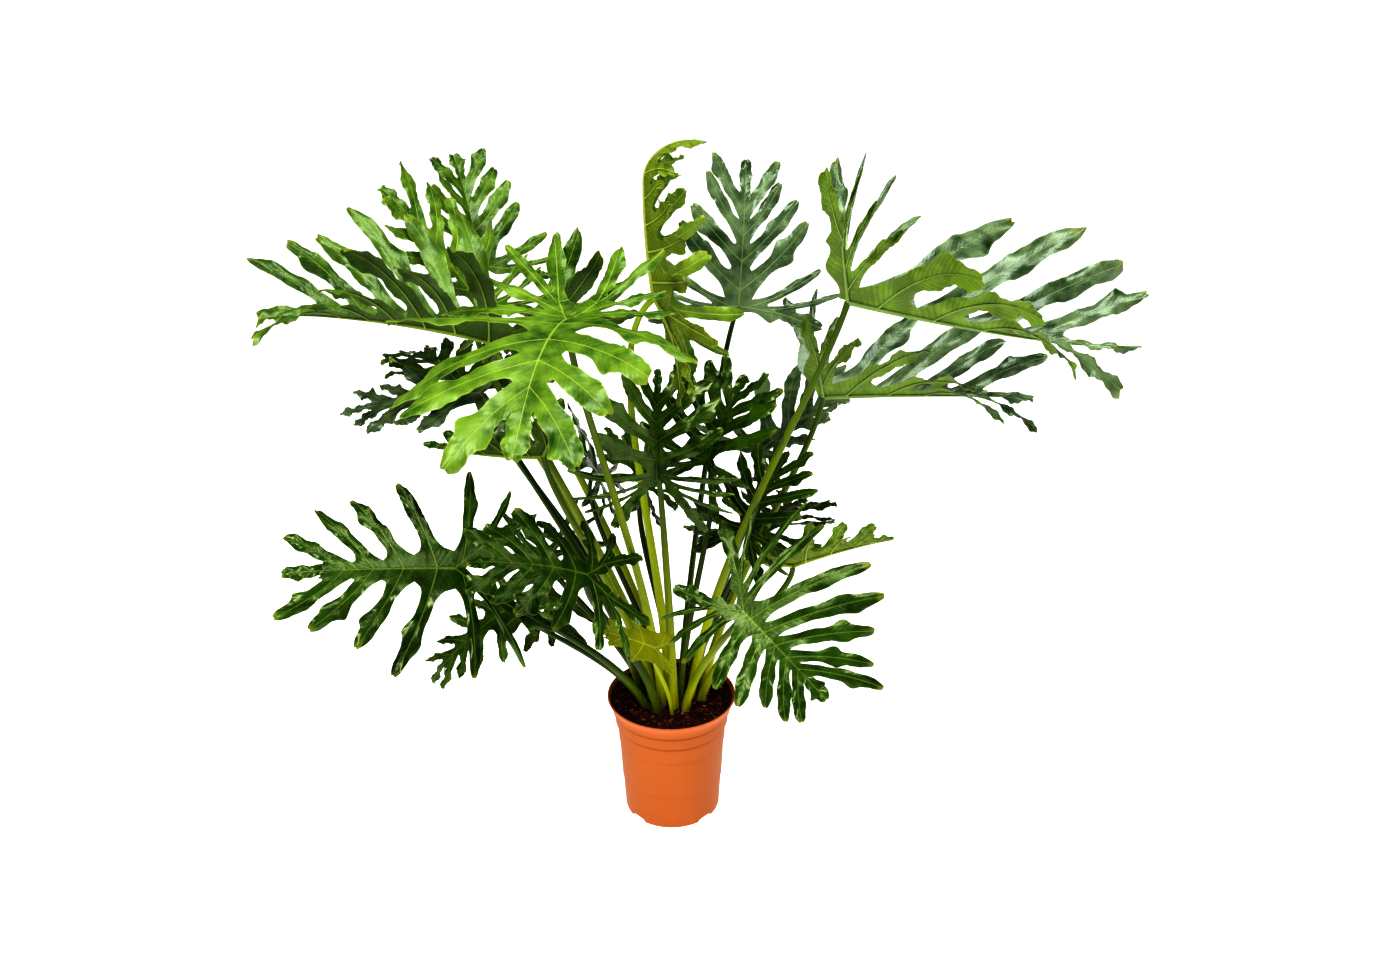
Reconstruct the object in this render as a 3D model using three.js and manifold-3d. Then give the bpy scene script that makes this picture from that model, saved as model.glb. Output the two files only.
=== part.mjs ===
// A split-leaf philodendron (Philodendron selloum) in its plastic nursery pot.
//
// Units are millimetres, +Z is up, and the origin is the middle of the pot's underside,
// on the ground. The plant's best side faces -Y.
//
// Pieces: the pot, the soil that fills it, and for every leaf a petiole (the stalk that
// rises from the soil) and a blade (the cut green part on top of it).

import * as THREE from "three";
import { mergeVertices } from "three/addons/utils/BufferGeometryUtils.js";
import Module from "manifold-3d";

const wasm = await Module();
wasm.setup();

// ---------------------------------------------------------------- driving dimensions

const GAP = 0.3;                 // clearance left between pieces that touch

const POT_HEIGHT = 213;
const RIM_RADIUS = 105;          // outer edge of the flared lip
const LIP_HEIGHT = 25;
const BAND_HEIGHT = 23;          // plain band under the lip
const BAND_RADIUS = 93.5;
const SHOULDER_RADIUS = 89.5;    // body just under the band
const FOOT_RADIUS = 79;
const WALL = 2.4;
const FLOOR_TOP = 12;
const FLOOR_BOTTOM = 9;
const FLOOR_THICKNESS = FLOOR_TOP - FLOOR_BOTTOM;
const PAD_RADIUS = 22;           // the middle of the floor is dished down to the ground
const PAD_SLOPE = 3;
const FOOT_WIDTH = 5;            // width of the ring that meets the ground
const POT_SIDES = 32;
const LIP_FOOT = POT_HEIGHT - LIP_HEIGHT;
const BAND_FOOT = LIP_FOOT - BAND_HEIGHT;
const INNER_SHOULDER = BAND_FOOT - 4;  // height where the inner wall starts to flare

const NOTCH_COUNT = 4;           // arched openings in the foot
const NOTCH_WIDTH = 30;
const NOTCH_HEIGHT = 7;
const DRAIN_RADIUS = 6;
const DRAIN_CIRCLE = 45;
const DRAIN_COUNT = 6;

const SOIL_EDGE = 207;           // height of the soil at the pot's lip
const SOIL_RADIUS = 98.8;        // the soil's edge there
const SOIL_CROWN = 210;          // height of the soil at the plant's foot
const CROWN_RADIUS = 62;

const PETIOLE_BASE_Z = 213;      // the straight root of each petiole ends here
const PETIOLE_ROOT = 27;         // length of that root
const PETIOLE_SIDES = 7;
const PETIOLE_STEPS = 5;

const BLADE_THICKNESS = 1.2;
const MIDRIB_DEPTH = 1.8;        // how far the midrib stands out under the blade
const APEX = 0.73;               // where the end lobe leaves the midrib, in blade lengths
const REAR_RIB = 0.24;           // length of each rear rib, in blade lengths
const NOTCH_WEB = 0.022;         // green left behind the junction, in blade lengths
const FRONT_SHARE = 0.58;        // how much of a blade's spread its front lobes turn through
const FRONT_LENGTHS = [0.33, 0.6];  // front lobes, from the tip to the junction
const REAR_LENGTHS = [0.6, 0.44];   // rear lobes, from the junction backwards
const LOBE_HALF = 0.05;          // the most that half a lobe measures across, in blade lengths
const END_HALF = 0.046;          // the same for the lobes at the ends of the ribs
const WAVE_HEIGHT = 0.013;       // of a lobe's edge, in blade lengths
const EDGE_DROOP = 0.02;
const LOBE_KEEL = 0.3;           // slope of a lobe's two halves, up from its vein
const LOBE_SCATTER = 0.32;       // how unevenly the lobes rise out of the blade
const LOBE_TWIST = 0.9;          // how unevenly they twist

// ---------------------------------------------------------------- materials

function plain(color, roughness) {
  return new THREE.MeshStandardMaterial({ color, roughness, metalness: 0 });
}

const TERRACOTTA = plain(0xd9672f, 0.55);
const SOIL = plain(0x2a1812, 0.95);
const PETIOLE_GREEN = plain(0x8fa52c, 0.45);
const BLADE_GREENS = {
  deep: plain(0x1f4d1c, 0.4),    // a full-grown blade
  bright: plain(0x5f9e2c, 0.4),  // a blade in full light
  young: plain(0x93ab2c, 0.45),  // a blade that has just unfolded
};

// ---------------------------------------------------------------- small helpers

const UP = new THREE.Vector3(0, 1, 0);  // the axis of a CylinderGeometry
const MIDRIB = new THREE.Vector2(0, 0);  // where a blade's midrib is in its cross-section
const lerp = THREE.MathUtils.lerp;
const radians = THREE.MathUtils.degToRad;

// A repeatable number from 0 to 1 for each leaf seed and each detail of that leaf.
function draw(seed, detail) {
  const value = Math.sin(seed * 12.9898 + detail * 78.233) * 43758.5453;
  return value - Math.floor(value);
}

// A direction in the plan of a blade; side is +1 for the left half and -1 for the right.
function planDirection(angle, side) {
  return new THREE.Vector2(Math.cos(angle), side * Math.sin(angle));
}

function toSolid(geometry) {
  const bare = geometry.clone();
  bare.deleteAttribute("normal");
  bare.deleteAttribute("uv");
  const merged = mergeVertices(bare, 1e-4);
  const mesh = new wasm.Mesh({
    numProp: 3,
    vertProperties: new Float32Array(merged.attributes.position.array),
    triVerts: new Uint32Array(merged.index.array),
  });
  return new wasm.Manifold(mesh);
}

function toGeometry(solid) {
  const mesh = solid.getMesh();
  const geometry = new THREE.BufferGeometry();
  geometry.setAttribute("position", new THREE.BufferAttribute(mesh.vertProperties, 3));
  geometry.setIndex(new THREE.BufferAttribute(mesh.triVerts, 1));
  geometry.computeVertexNormals();
  return geometry;
}

// A LatheGeometry turned so that its axis is Z; points are [radius, height].
function latheZ(points, sides) {
  const profile = points.map(([radius, height]) => new THREE.Vector2(radius, height));
  const geometry = new THREE.LatheGeometry(profile, sides);
  geometry.rotateX(Math.PI / 2);
  return geometry;
}

function named(name, geometry, material) {
  const mesh = new THREE.Mesh(geometry, material);
  mesh.name = name;
  return mesh;
}

// ---------------------------------------------------------------- pot

function potProfile() {
  return [
    [0, 0],
    [PAD_RADIUS, 0],
    [PAD_RADIUS + PAD_SLOPE, FLOOR_BOTTOM],
    [FOOT_RADIUS - FOOT_WIDTH, FLOOR_BOTTOM],
    [FOOT_RADIUS - FOOT_WIDTH, 0],
    [FOOT_RADIUS, 0],
    [SHOULDER_RADIUS, BAND_FOOT - 2],
    [BAND_RADIUS - 0.9, BAND_FOOT],
    [BAND_RADIUS, LIP_FOOT - 1],
    [BAND_RADIUS + 3.5, LIP_FOOT],
    [RIM_RADIUS - 1.5, POT_HEIGHT - 4],
    [RIM_RADIUS, POT_HEIGHT - 1.5],
    [RIM_RADIUS - 0.8, POT_HEIGHT],
    [RIM_RADIUS - WALL, POT_HEIGHT],
    [RIM_RADIUS - WALL - 1.5, POT_HEIGHT - 3],
    [BAND_RADIUS - WALL + 1.5, LIP_FOOT + 1],
    [SHOULDER_RADIUS - WALL, INNER_SHOULDER],
    [FOOT_RADIUS - WALL, FLOOR_TOP],
    [PAD_RADIUS, FLOOR_TOP],
    [PAD_RADIUS - PAD_SLOPE, FLOOR_THICKNESS],
    [0, FLOOR_THICKNESS],
  ];
}

// An arched opening through the foot, pointing along +X.
function footNotch() {
  const half = NOTCH_WIDTH / 2;
  const arch = new THREE.Shape();
  arch.moveTo(-half, -1);
  arch.lineTo(half, -1);
  arch.lineTo(half, 1);
  arch.quadraticCurveTo(half * 0.8, NOTCH_HEIGHT, 0, NOTCH_HEIGHT);
  arch.quadraticCurveTo(-half * 0.8, NOTCH_HEIGHT, -half, 1);
  const block = new THREE.ExtrudeGeometry(arch, {
    depth: 4 * FOOT_WIDTH,
    bevelEnabled: false,
    curveSegments: 4,
  });
  // Stand the arch up, then push it out through the foot ring.
  block.rotateX(Math.PI / 2);
  block.rotateZ(Math.PI / 2);
  block.translate(FOOT_RADIUS - 2 * FOOT_WIDTH, 0, 0);
  return block;
}

function buildPot() {
  let pot = toSolid(latheZ(potProfile(), POT_SIDES));
  for (let i = 0; i < NOTCH_COUNT; i++) {
    const notch = footNotch();
    notch.rotateZ((2 * Math.PI * (i + 0.5)) / NOTCH_COUNT);
    pot = pot.subtract(toSolid(notch));
  }
  for (let i = 0; i < DRAIN_COUNT; i++) {
    const angle = (2 * Math.PI * i) / DRAIN_COUNT;
    const drain = new THREE.CylinderGeometry(DRAIN_RADIUS, DRAIN_RADIUS, 20, 10);
    drain.rotateX(Math.PI / 2);
    drain.translate(
      DRAIN_CIRCLE * Math.cos(angle),
      DRAIN_CIRCLE * Math.sin(angle),
      FLOOR_BOTTOM,
    );
    pot = pot.subtract(toSolid(drain));
  }
  return named("pot", toGeometry(pot), TERRACOTTA);
}

// ---------------------------------------------------------------- leaves

// Every leaf. root is where the petiole leaves the soil; at is the junction of
// petiole and blade; tip is the end of the blade.
// front, back: side lobes on each half, ahead of and behind the junction
// wide: length of the lobes; strap: their width; tail: length of the rear ones
// lop: how much larger the left half is than the right one
// first, spread: directions of the lobes next to the tip and of the rear ribs, in degrees
// bend, nape: droop along the blade, ahead of and behind the junction, in degrees
// knee, hook: where a sharper bend begins, in blade lengths, and its droop, in degrees
// fold, arch: V of the two halves and their outward droop, in degrees
// open: how much of the V is lost towards the tip; twist: turn of the tip, in degrees
// roll: turn about the blade's length; up: the side that the blade faces
// sinus: depth of the joined green beside the ribs; rings: rows of cells in a free lobe
// bow, reach, lean: how the petiole curves, below and just under the blade
// base, neck: radii of the petiole at its two ends
const LEAF = {
  tone: "deep", front: 4, back: 2, wide: 1, strap: 1, tail: 1, lop: 0,
  first: 38, spread: 140, sinus: 0.075, rings: 2,
  bend: 10, nape: -20, knee: 2, hook: 0, fold: 10, arch: -25, open: 0.3,
  twist: 0, roll: 0, up: [0, 0, 1],
  bow: 0.8, base: 7.5, neck: 4.2, reach: 0.18, lean: 0.6,
};

const LEAVES = [
  // High leaves, first the ones on the left.
  { name: "01", tone: "bright", root: [-14, -28], at: [-120, -225, 915], tip: [-160, -455, 820],
    seed: 1, rings: 3, back: 3, wide: 1.3, strap: 1.2, tail: 0.8, lop: -0.1, spread: 155,
    sinus: 0.11, bend: 60, nape: -120, fold: 5, arch: -20, roll: -2 },
  { name: "02", tone: "bright", root: [-32, 2], at: [-220, -80, 835], tip: [-540, -130, 895],
    seed: 2, rings: 3, front: 6, back: 1, wide: 1.05, strap: 0.85, first: 40, sinus: 0.06,
    bend: 15, fold: 60, arch: -10, open: 0.5, twist: -30, roll: -5 },
  { name: "03", root: [-52, 13], at: [-290, 70, 710], tip: [-510, 75, 675],
    seed: 3, back: 1, wide: 0.75, strap: 0.9, spread: 115, fold: 5, roll: 20 },
  { name: "04", root: [-30, -14], at: [-175, -105, 680], tip: [-340, -115, 700],
    seed: 22, back: 1, wide: 0.7, spread: 110, bend: -15, fold: 60 },
  { name: "05", tone: "bright", root: [-29, 20], at: [-280, 60, 855], tip: [-405, 60, 1025],
    seed: 4, back: 3, lop: -0.1, spread: 130, fold: 20, roll: 20 },
  { name: "06", tone: "bright", root: [-16, 34], at: [-290, 180, 880], tip: [-335, 250, 1040],
    seed: 5, strap: 1.1, spread: 110, bend: 0, fold: 30, open: 0 },
  { name: "07", tone: "young", root: [-4, -6], at: [-15, -40, 890], tip: [-22, -54, 1150],
    seed: 7, front: 5, wide: 0.6, strap: 0.8, tail: 1.3, spread: 150, sinus: 0.07, bend: -15,
    nape: 40, knee: 0.62, hook: -110, fold: 60, roll: -10, up: [1, -0.5, 0] },
  { name: "08", root: [16, 26], at: [105, 80, 845], tip: [115, 150, 1045],
    seed: 8, wide: 1.05, spread: 95, bend: 20, roll: -15, base: 6, neck: 3.6 },
  { name: "09", root: [32, -5], at: [250, -70, 895], tip: [630, -140, 845],
    seed: 9, rings: 3, back: 3, strap: 0.85, tail: 0.75, lop: 0.15, first: 30, spread: 108,
    sinus: 0.04, bend: -8, fold: 58, arch: -5, open: 0.9, twist: 58, roll: 14 },
  // Leaves of the middle height.
  { name: "10", root: [52, 8], at: [240, 110, 690], tip: [575, 130, 680],
    seed: 10, strap: 0.85, tail: 0.7, lop: 0.1, first: 30, spread: 102, sinus: 0.06, bend: 5,
    fold: 55, arch: -10, open: 0.7, twist: 55, roll: 10 },
  { name: "11", root: [38, 22], at: [150, 160, 580], tip: [300, 230, 665],
    seed: 11, wide: 1.2, strap: 1.3, lop: 0.4, spread: 120 },
  { name: "12", root: [5, -36], at: [-15, -80, 645], tip: [-15, -40, 785],
    seed: 12, back: 3, wide: 1.4, strap: 1.2, spread: 130, bend: 30, fold: 35, arch: -45,
    twist: 40 },
  { name: "13", root: [5, 14], at: [-40, 80, 550], tip: [-115, 110, 625],
    seed: 13, front: 3, wide: 1.2, strap: 1.3, bend: 30 },
  { name: "14", root: [-33, 40], at: [-310, 170, 680], tip: [-465, 330, 695],
    seed: 23, back: 1, spread: 105, bend: 20 },
  { name: "23", root: [14, -18], at: [60, -20, 640], tip: [115, 20, 755],
    seed: 25, wide: 1.5, strap: 1.4, spread: 130, bend: 20, fold: 30, arch: -30, roll: -15,
    base: 6, neck: 3.4 },
  { name: "24", root: [-14, 8], at: [-115, 50, 590], tip: [-190, 50, 695],
    seed: 26, wide: 1.5, strap: 1.4, spread: 130, bend: 20, base: 6, neck: 3.4 },
  // Low leaves, in front and at the sides.
  { name: "15", root: [-42, -36], at: [-295, -190, 545], tip: [-515, -250, 570],
    seed: 14, wide: 1.1, strap: 0.85, fold: -5, roll: 45, base: 6, neck: 3.6 },
  { name: "16", tone: "bright", root: [-54, -14], at: [-250, -50, 400], tip: [-375, -80, 285],
    seed: 15, wide: 0.7, strap: 0.75, bend: 30, fold: 0, roll: 25, base: 5.5, neck: 3.4 },
  { name: "17", root: [-22, -50], at: [-110, -200, 540], tip: [-265, -250, 585],
    seed: 16, wide: 1.1, strap: 1.3, bend: 30, fold: 0, roll: 30 },
  { name: "18", root: [-52, 34], at: [-220, 170, 365], tip: [-210, 140, 215],
    seed: 17, front: 3, wide: 1.35, up: [-0.3, 1, 0.5] },
  { name: "19", root: [24, -44], at: [108, -210, 487], tip: [220, -290, 395],
    seed: 18, rings: 3, front: 5, back: 3, wide: 1.45, strap: 1.25, lop: 0.25, spread: 145,
    bend: 15, nape: 0, fold: -5, arch: -10, roll: -45 },
  { name: "20", tone: "young", root: [50, -14], at: [190, -20, 460], tip: [340, -40, 515],
    seed: 19, front: 3, back: 1, wide: 0.7, fold: 60 },
  { name: "21", tone: "young", root: [2, -56], at: [-20, -150, 390], tip: [-105, -165, 430],
    seed: 20, front: 2, back: 1, wide: 0.8, tail: 0.6, sinus: 0.2, bend: 20, roll: 30,
    base: 4, neck: 3 },
  { name: "22", root: [34, 42], at: [145, 160, 430], tip: [240, 330, 405],
    seed: 24, bend: 20 },
  { name: "25", root: [24, 8], at: [120, -10, 520], tip: [185, 45, 620],
    seed: 27, wide: 1.4, strap: 1.3, spread: 130, bend: 20, base: 6, neck: 3.4 },
];

// How large one half of a blade is.
function halfSize(leaf, side) {
  return leaf.wide * (1 + side * leaf.lop);
}

// The side lobes of one half of a blade, from the tip backwards.
function sideLobes(leaf, side) {
  const size = halfSize(leaf, side);
  const lobes = [];
  for (let k = 0; k < leaf.front; k++) {
    const share = (k + 0.5) / leaf.front;
    const id = 100 * (side + 2) + k;
    const even = lerp(leaf.first, FRONT_SHARE * leaf.spread, share ** 0.85);
    const turn = even + 5 * (draw(leaf.seed, id) - 0.5);
    const reach = lerp(...FRONT_LENGTHS, share ** 0.75) * (0.9 + 0.2 * draw(leaf.seed, id + 20));
    lobes.push({ id, side, angle: radians(turn), length: reach * size, spur: 1.6 });
  }
  for (let m = 0; m < leaf.back; m++) {
    const share = (m + 0.5) / leaf.back;
    const id = 100 * (side + 2) + 40 + m;
    const turn = lerp(0.66, 0.98, share) * leaf.spread + 5 * (draw(leaf.seed, id) - 0.5);
    const reach = lerp(...REAR_LENGTHS, share) * (0.9 + 0.2 * draw(leaf.seed, id + 20));
    lobes.push({ id, side, angle: radians(turn), length: reach * size * leaf.tail, spur: 1 });
  }
  return lobes;
}

// Half width of a lobe at s (0 at its root, 1 at its tip), on the edge named by w's sign.
function lobeWidth(leaf, lobe, s, w) {
  const edge = w > 0 ? 1 : 0;
  const body = 0.84 + 0.3 * Math.sin((Math.PI / 2) * Math.min(1, s / 0.75)) ** 2;
  const tip = s < 1 ? (1 - s ** 7) ** 0.55 : 0;
  const phase = draw(leaf.seed, lobe.id * 3 + edge);
  const ripple = 1 + 0.09 * Math.sin(2 * Math.PI * (3.1 * s + phase));
  const place = 0.5 + 0.26 * draw(leaf.seed, lobe.id * 5 + edge);
  const size = Math.max(0, draw(leaf.seed, lobe.id * 7 + edge) - 0.5) * lobe.spur;
  const spur = size * Math.exp(-(((s - place) / 0.085) ** 2));
  return { half: lobe.half * leaf.strap * body * tip * (ripple + spur), spur };
}

// The plan point of a lobe at s along and w across (-1 to 1). Near its root the lobe
// keeps the shape of the row it grows from.
function lobePoint(leaf, lobe, s, w, start) {
  const centre = lobe.origin.clone()
    .addScaledVector(lobe.dir, lobe.length * s)
    .addScaledVector(lobe.normal, lobe.sweep * s * s);
  const along = lobe.dir.clone().multiplyScalar(lobe.length)
    .addScaledVector(lobe.normal, 2 * lobe.sweep * s).normalize();
  const across = new THREE.Vector2(-along.y, along.x).multiplyScalar(-lobe.side);
  const { half, spur } = lobeWidth(leaf, lobe, s, w);
  const t = THREE.MathUtils.clamp((s - start.s) / 0.2, 0, 1);
  const keep = 1 - Math.sqrt(1 - (1 - t) ** 2);
  const lead = s < 0.999 ? (0.012 + 0.03 * spur) * Math.abs(w) ** 1.5 : 0;
  return centre
    .addScaledVector(along, lerp(lead, start.along, keep))
    .addScaledVector(across, lerp(w * half, start.across, keep));
}

// Rows of a free lobe: how far along it each one lies, as a share of what is left.
const LOBE_ROWS = { 2: [0.5, 1], 3: [0.36, 0.8, 1] };

// The flat plan of a blade: its points, what each point belongs to, and its cells.
// Every lobe is two cells wide, with the vein between them, so the two halves of the
// blade meet on the midrib and neighbouring lobes meet on a line from rib to sinus.
class BladePlan {
  constructor(leaf) {
    this.leaf = leaf;
    this.points = [];
    this.notes = [];
    this.cells = [];
    this.layOut();
  }

  add(point, note = {}) {
    this.points.push(point);
    this.notes.push(note);
    return this.points.length - 1;
  }

  // Join neighbouring rows of points with cells that face up.
  stitch(rows, turned) {
    for (let r = 0; r + 1 < rows.length; r++) {
      for (let j = 0; j + 1 < rows[r].length; j++) {
        const cell = [rows[r][j], rows[r][j + 1], rows[r + 1][j + 1], rows[r + 1][j]];
        this.cells.push(turned ? cell.reverse() : cell);
      }
    }
  }

  // The free part of a lobe, from its last joined row to the tip.
  growLobe(lobe, rows, starts, first) {
    for (const share of LOBE_ROWS[this.leaf.rings]) {
      const s = lerp(first, 1, share);
      if (share === 1) {
        const tip = this.add(lobePoint(this.leaf, lobe, 1, 0, starts[1]), { lobe, s, w: 0 });
        rows.push([tip, tip, tip]);
      } else {
        rows.push([1, 0, -1].map((w, j) =>
          this.add(lobePoint(this.leaf, lobe, s, w, starts[j]), { lobe, s, w })));
      }
    }
  }

  // A lobe at the end of a rib, grown from the row of points that is already there.
  endLobe(base, root, angle, length, id, side) {
    const dir = planDirection(angle, side);
    const normal = new THREE.Vector2(dir.y, -dir.x).multiplyScalar(side);
    const origin = this.points[root];
    const width = this.points[base[0]].clone().sub(this.points[base[2]]).dot(normal);
    const lobe = { id, side, dir, normal, origin, length, sweep: 0, spur: 1.2 };
    lobe.half = Math.min(END_HALF, 0.5 * Math.abs(width));
    const across = new THREE.Vector2(-dir.y, dir.x).multiplyScalar(-side);
    const starts = base.map((index) => {
      const offset = this.points[index].clone().sub(origin);
      return { s: 0, along: offset.dot(dir), across: offset.dot(across) };
    });
    const rows = [base];
    this.growLobe(lobe, rows, starts, 0.1);
    this.stitch(rows, side > 0);
  }

  // A lobe on the side of a rib, between two lines that run out to the sinuses.
  sideLobe(lobe, feet, lineA, lineB) {
    const { leaf, points } = this;
    const dir = planDirection(lobe.angle, lobe.side);
    const normal = new THREE.Vector2(dir.y, -dir.x).multiplyScalar(lobe.side);
    const origin = points[feet[0]].clone().lerp(points[feet[2]], 0.5);
    const [sinusA, sinusB] = [points[lineA[1]], points[lineB[1]]];
    const chord = sinusA.clone().sub(sinusB);
    lobe.dir = dir;
    lobe.normal = normal;
    lobe.origin = origin;
    lobe.half = Math.min(LOBE_HALF, 0.33 * Math.abs(chord.dot(normal)));
    lobe.sweep = 0.16 * lobe.length * (0.6 + 0.8 * draw(leaf.seed, lobe.id + 31));
    const reach = sinusA.clone().lerp(sinusB, 0.5).sub(origin).dot(dir);
    const first = Math.max(0.12, reach / lobe.length);
    const centre = origin.clone()
      .addScaledVector(dir, lobe.length * first)
      .addScaledVector(normal, lobe.sweep * first * first);
    const along = dir.clone().multiplyScalar(lobe.length)
      .addScaledVector(normal, 2 * lobe.sweep * first).normalize();
    const across = new THREE.Vector2(-along.y, along.x).multiplyScalar(-lobe.side);
    const starts = [1, 0, -1].map((w) => {
      const offset = (w >= 0 ? sinusA : sinusB).clone().sub(centre);
      return {
        s: first,
        along: offset.dot(along) * w * w,
        across: offset.dot(across) * Math.abs(w),
      };
    });
    const vein = this.add(centre.clone(), { lobe, s: first, w: 0 });
    const rows = [feet, [lineA[1], vein, lineB[1]]];
    this.growLobe(lobe, rows, starts, first);
    this.stitch(rows, lobe.side > 0);
  }

  layOut() {
    const { leaf, points } = this;
    const { front, back, seed } = leaf;
    const spread = radians(leaf.spread);
    const breaks = [];
    for (let k = 0; k <= front; k++) breaks.push(APEX * (1 - k / front) ** 0.88);

    const midrib = [];
    for (let k = 0; k < front; k++) {
      midrib.push(this.add(new THREE.Vector2(breaks[k], 0), { rib: true }));
      midrib.push(this.add(new THREE.Vector2((breaks[k] + breaks[k + 1]) / 2, 0), { rib: true }));
    }
    const junction = this.add(new THREE.Vector2(0, 0), { rib: true });
    midrib.push(junction);
    const notch = this.add(new THREE.Vector2(-NOTCH_WEB, 0));

    const firstLines = [];
    for (const side of [1, -1]) {
      const axis = [...midrib];
      for (let j = 1; j <= 2 * back; j++) {
        const point = planDirection(spread, side).multiplyScalar((REAR_RIB * j) / (2 * back));
        axis.push(this.add(point, { rib: true }));
      }
      const lobes = sideLobes(leaf, side);
      const count = front + back;
      const lines = [];
      for (let i = 0; i <= count; i++) {
        const root = axis[2 * i];
        let angle = lobes[Math.min(i, count - 1)].angle;
        if (i === 0) angle *= 0.7;
        else if (i === count) angle += radians(14);
        else angle = (lobes[i - 1].angle + angle) / 2;
        let depth = leaf.sinus * (0.85 + 0.3 * draw(seed, 300 + 50 * side + i));
        if (i === 0) depth *= 1.1;
        else if (i === front) depth *= 1.55;
        else if (i > front) depth *= 1.15;
        else depth *= lerp(0.75, 1.2, i / front);
        const sinus = points[root].clone().addScaledVector(planDirection(angle, side), depth);
        lines.push([root, this.add(sinus)]);
      }
      firstLines.push(lines[0]);
      lobes.forEach((lobe, i) => {
        this.sideLobe(lobe, axis.slice(2 * i, 2 * i + 3), lines[i], lines[i + 1]);
      });

      // The strip of green on the inner side of the rear rib, then the lobe at its end.
      const inward = new THREE.Vector2(-Math.sin(spread), side * Math.cos(spread));
      const web = [[junction, notch]];
      for (let j = 1; j <= 2 * back; j++) {
        const share = j / (2 * back);
        const width = (0.03 + 0.04 * share) * (1 + 0.3 * Math.sin(Math.PI * back * share + seed));
        const rib = axis[2 * front + j];
        web.push([rib, this.add(points[rib].clone().addScaledVector(inward, width))]);
      }
      this.stitch(web, side > 0);
      const ribEnd = axis[axis.length - 1];
      const base = [lines[count][1], ribEnd, web[web.length - 1][1]];
      const angle = spread + radians(10 + 8 * (draw(seed, 900 + side) - 0.5));
      const length = (0.34 + 0.08 * draw(seed, 910 + side)) * halfSize(leaf, side) * leaf.tail;
      this.endLobe(base, ribEnd, angle, length, 950 + side, side);
    }
    const base = [firstLines[0][1], midrib[0], firstLines[1][1]];
    this.endLobe(base, midrib[0], 0, 1 - APEX, 999, -1);
  }
}

// Height above the plan: waved edges, cupped lobes, each lobe lifted a little differently.
function lift(leaf, note) {
  if (!note.lobe) return 0;
  const { lobe, s, w } = note;
  const edge = w > 0 ? 1 : 0;
  const free = THREE.MathUtils.clamp((s - 0.2) / 0.35, 0, 1);
  const waves = 2 + 1.2 * draw(leaf.seed, lobe.id + 41);
  const phase = draw(leaf.seed, lobe.id * 3 + edge + 17);
  const wave = WAVE_HEIGHT * Math.abs(w) ** 1.6 * Math.sin(2 * Math.PI * (waves * s + phase));
  const rise = LOBE_SCATTER * (draw(leaf.seed, lobe.id + 57) - 0.5) * lobe.length * s * s;
  const twist = LOBE_TWIST * (draw(leaf.seed, lobe.id + 63) - 0.5) * w * lobe.half * s;
  const keel = LOBE_KEEL * Math.abs(w) * lobe.half;
  return wave * (0.35 + 0.65 * free) + twist + keel - EDGE_DROOP * w * w * free + rise;
}

// Fold the plan into a V about the midrib, droop its halves, and bend it along its length.
function shapePoint(leaf, point, note) {
  const rise = lift(leaf, note);
  const side = Math.sign(point.y);
  const out = Math.abs(point.y);
  const far = Math.max(0, point.x) ** 2;
  const fold = radians(leaf.fold) * (1 - leaf.open * far);
  const arch = radians(leaf.arch);
  const tilt = side === 0 ? 0 : fold + arch * out;
  const flat = new THREE.Vector2(
    side * (out * Math.cos(fold + (arch * out) / 2) - rise * Math.sin(tilt)),
    out * Math.sin(fold + (arch * out) / 2) + rise * Math.cos(tilt),
  );
  const { x: across, y: height } = flat.rotateAround(MIDRIB, radians(leaf.twist) * far);
  const near = Math.min(point.x, leaf.knee);
  const rest = point.x - near;
  const turn = radians(point.x >= 0 ? leaf.bend : leaf.nape) * near;
  const hook = (radians(leaf.hook) * rest) / (1 - leaf.knee);
  return new THREE.Vector3(
    near * Math.cos(turn / 2) + rest * Math.cos(turn + hook / 2) + height * Math.sin(turn + hook),
    across,
    height * Math.cos(turn + hook) - near * Math.sin(turn / 2) - rest * Math.sin(turn + hook / 2),
  );
}

// Where a blade sits: its junction, its length, and its forward, left and up directions.
function bladeFrame(leaf) {
  const junction = new THREE.Vector3(...leaf.at);
  const chord = new THREE.Vector3(...leaf.tip).sub(junction);
  const length = chord.length();
  chord.normalize();
  const up = new THREE.Vector3(...leaf.up);
  up.addScaledVector(chord, -up.dot(chord)).normalize();
  const left = up.clone().cross(chord);
  const roll = radians(leaf.roll);
  const face = up.clone().multiplyScalar(Math.cos(roll)).addScaledVector(left, Math.sin(roll));
  const side = face.clone().cross(chord);
  const half = radians(leaf.bend) / 2;
  const forward = chord.clone().multiplyScalar(Math.cos(half)).addScaledVector(face, Math.sin(half));
  const normal = face.multiplyScalar(Math.cos(half)).addScaledVector(chord, -Math.sin(half));
  return { junction, length, forward, side, normal };
}

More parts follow.
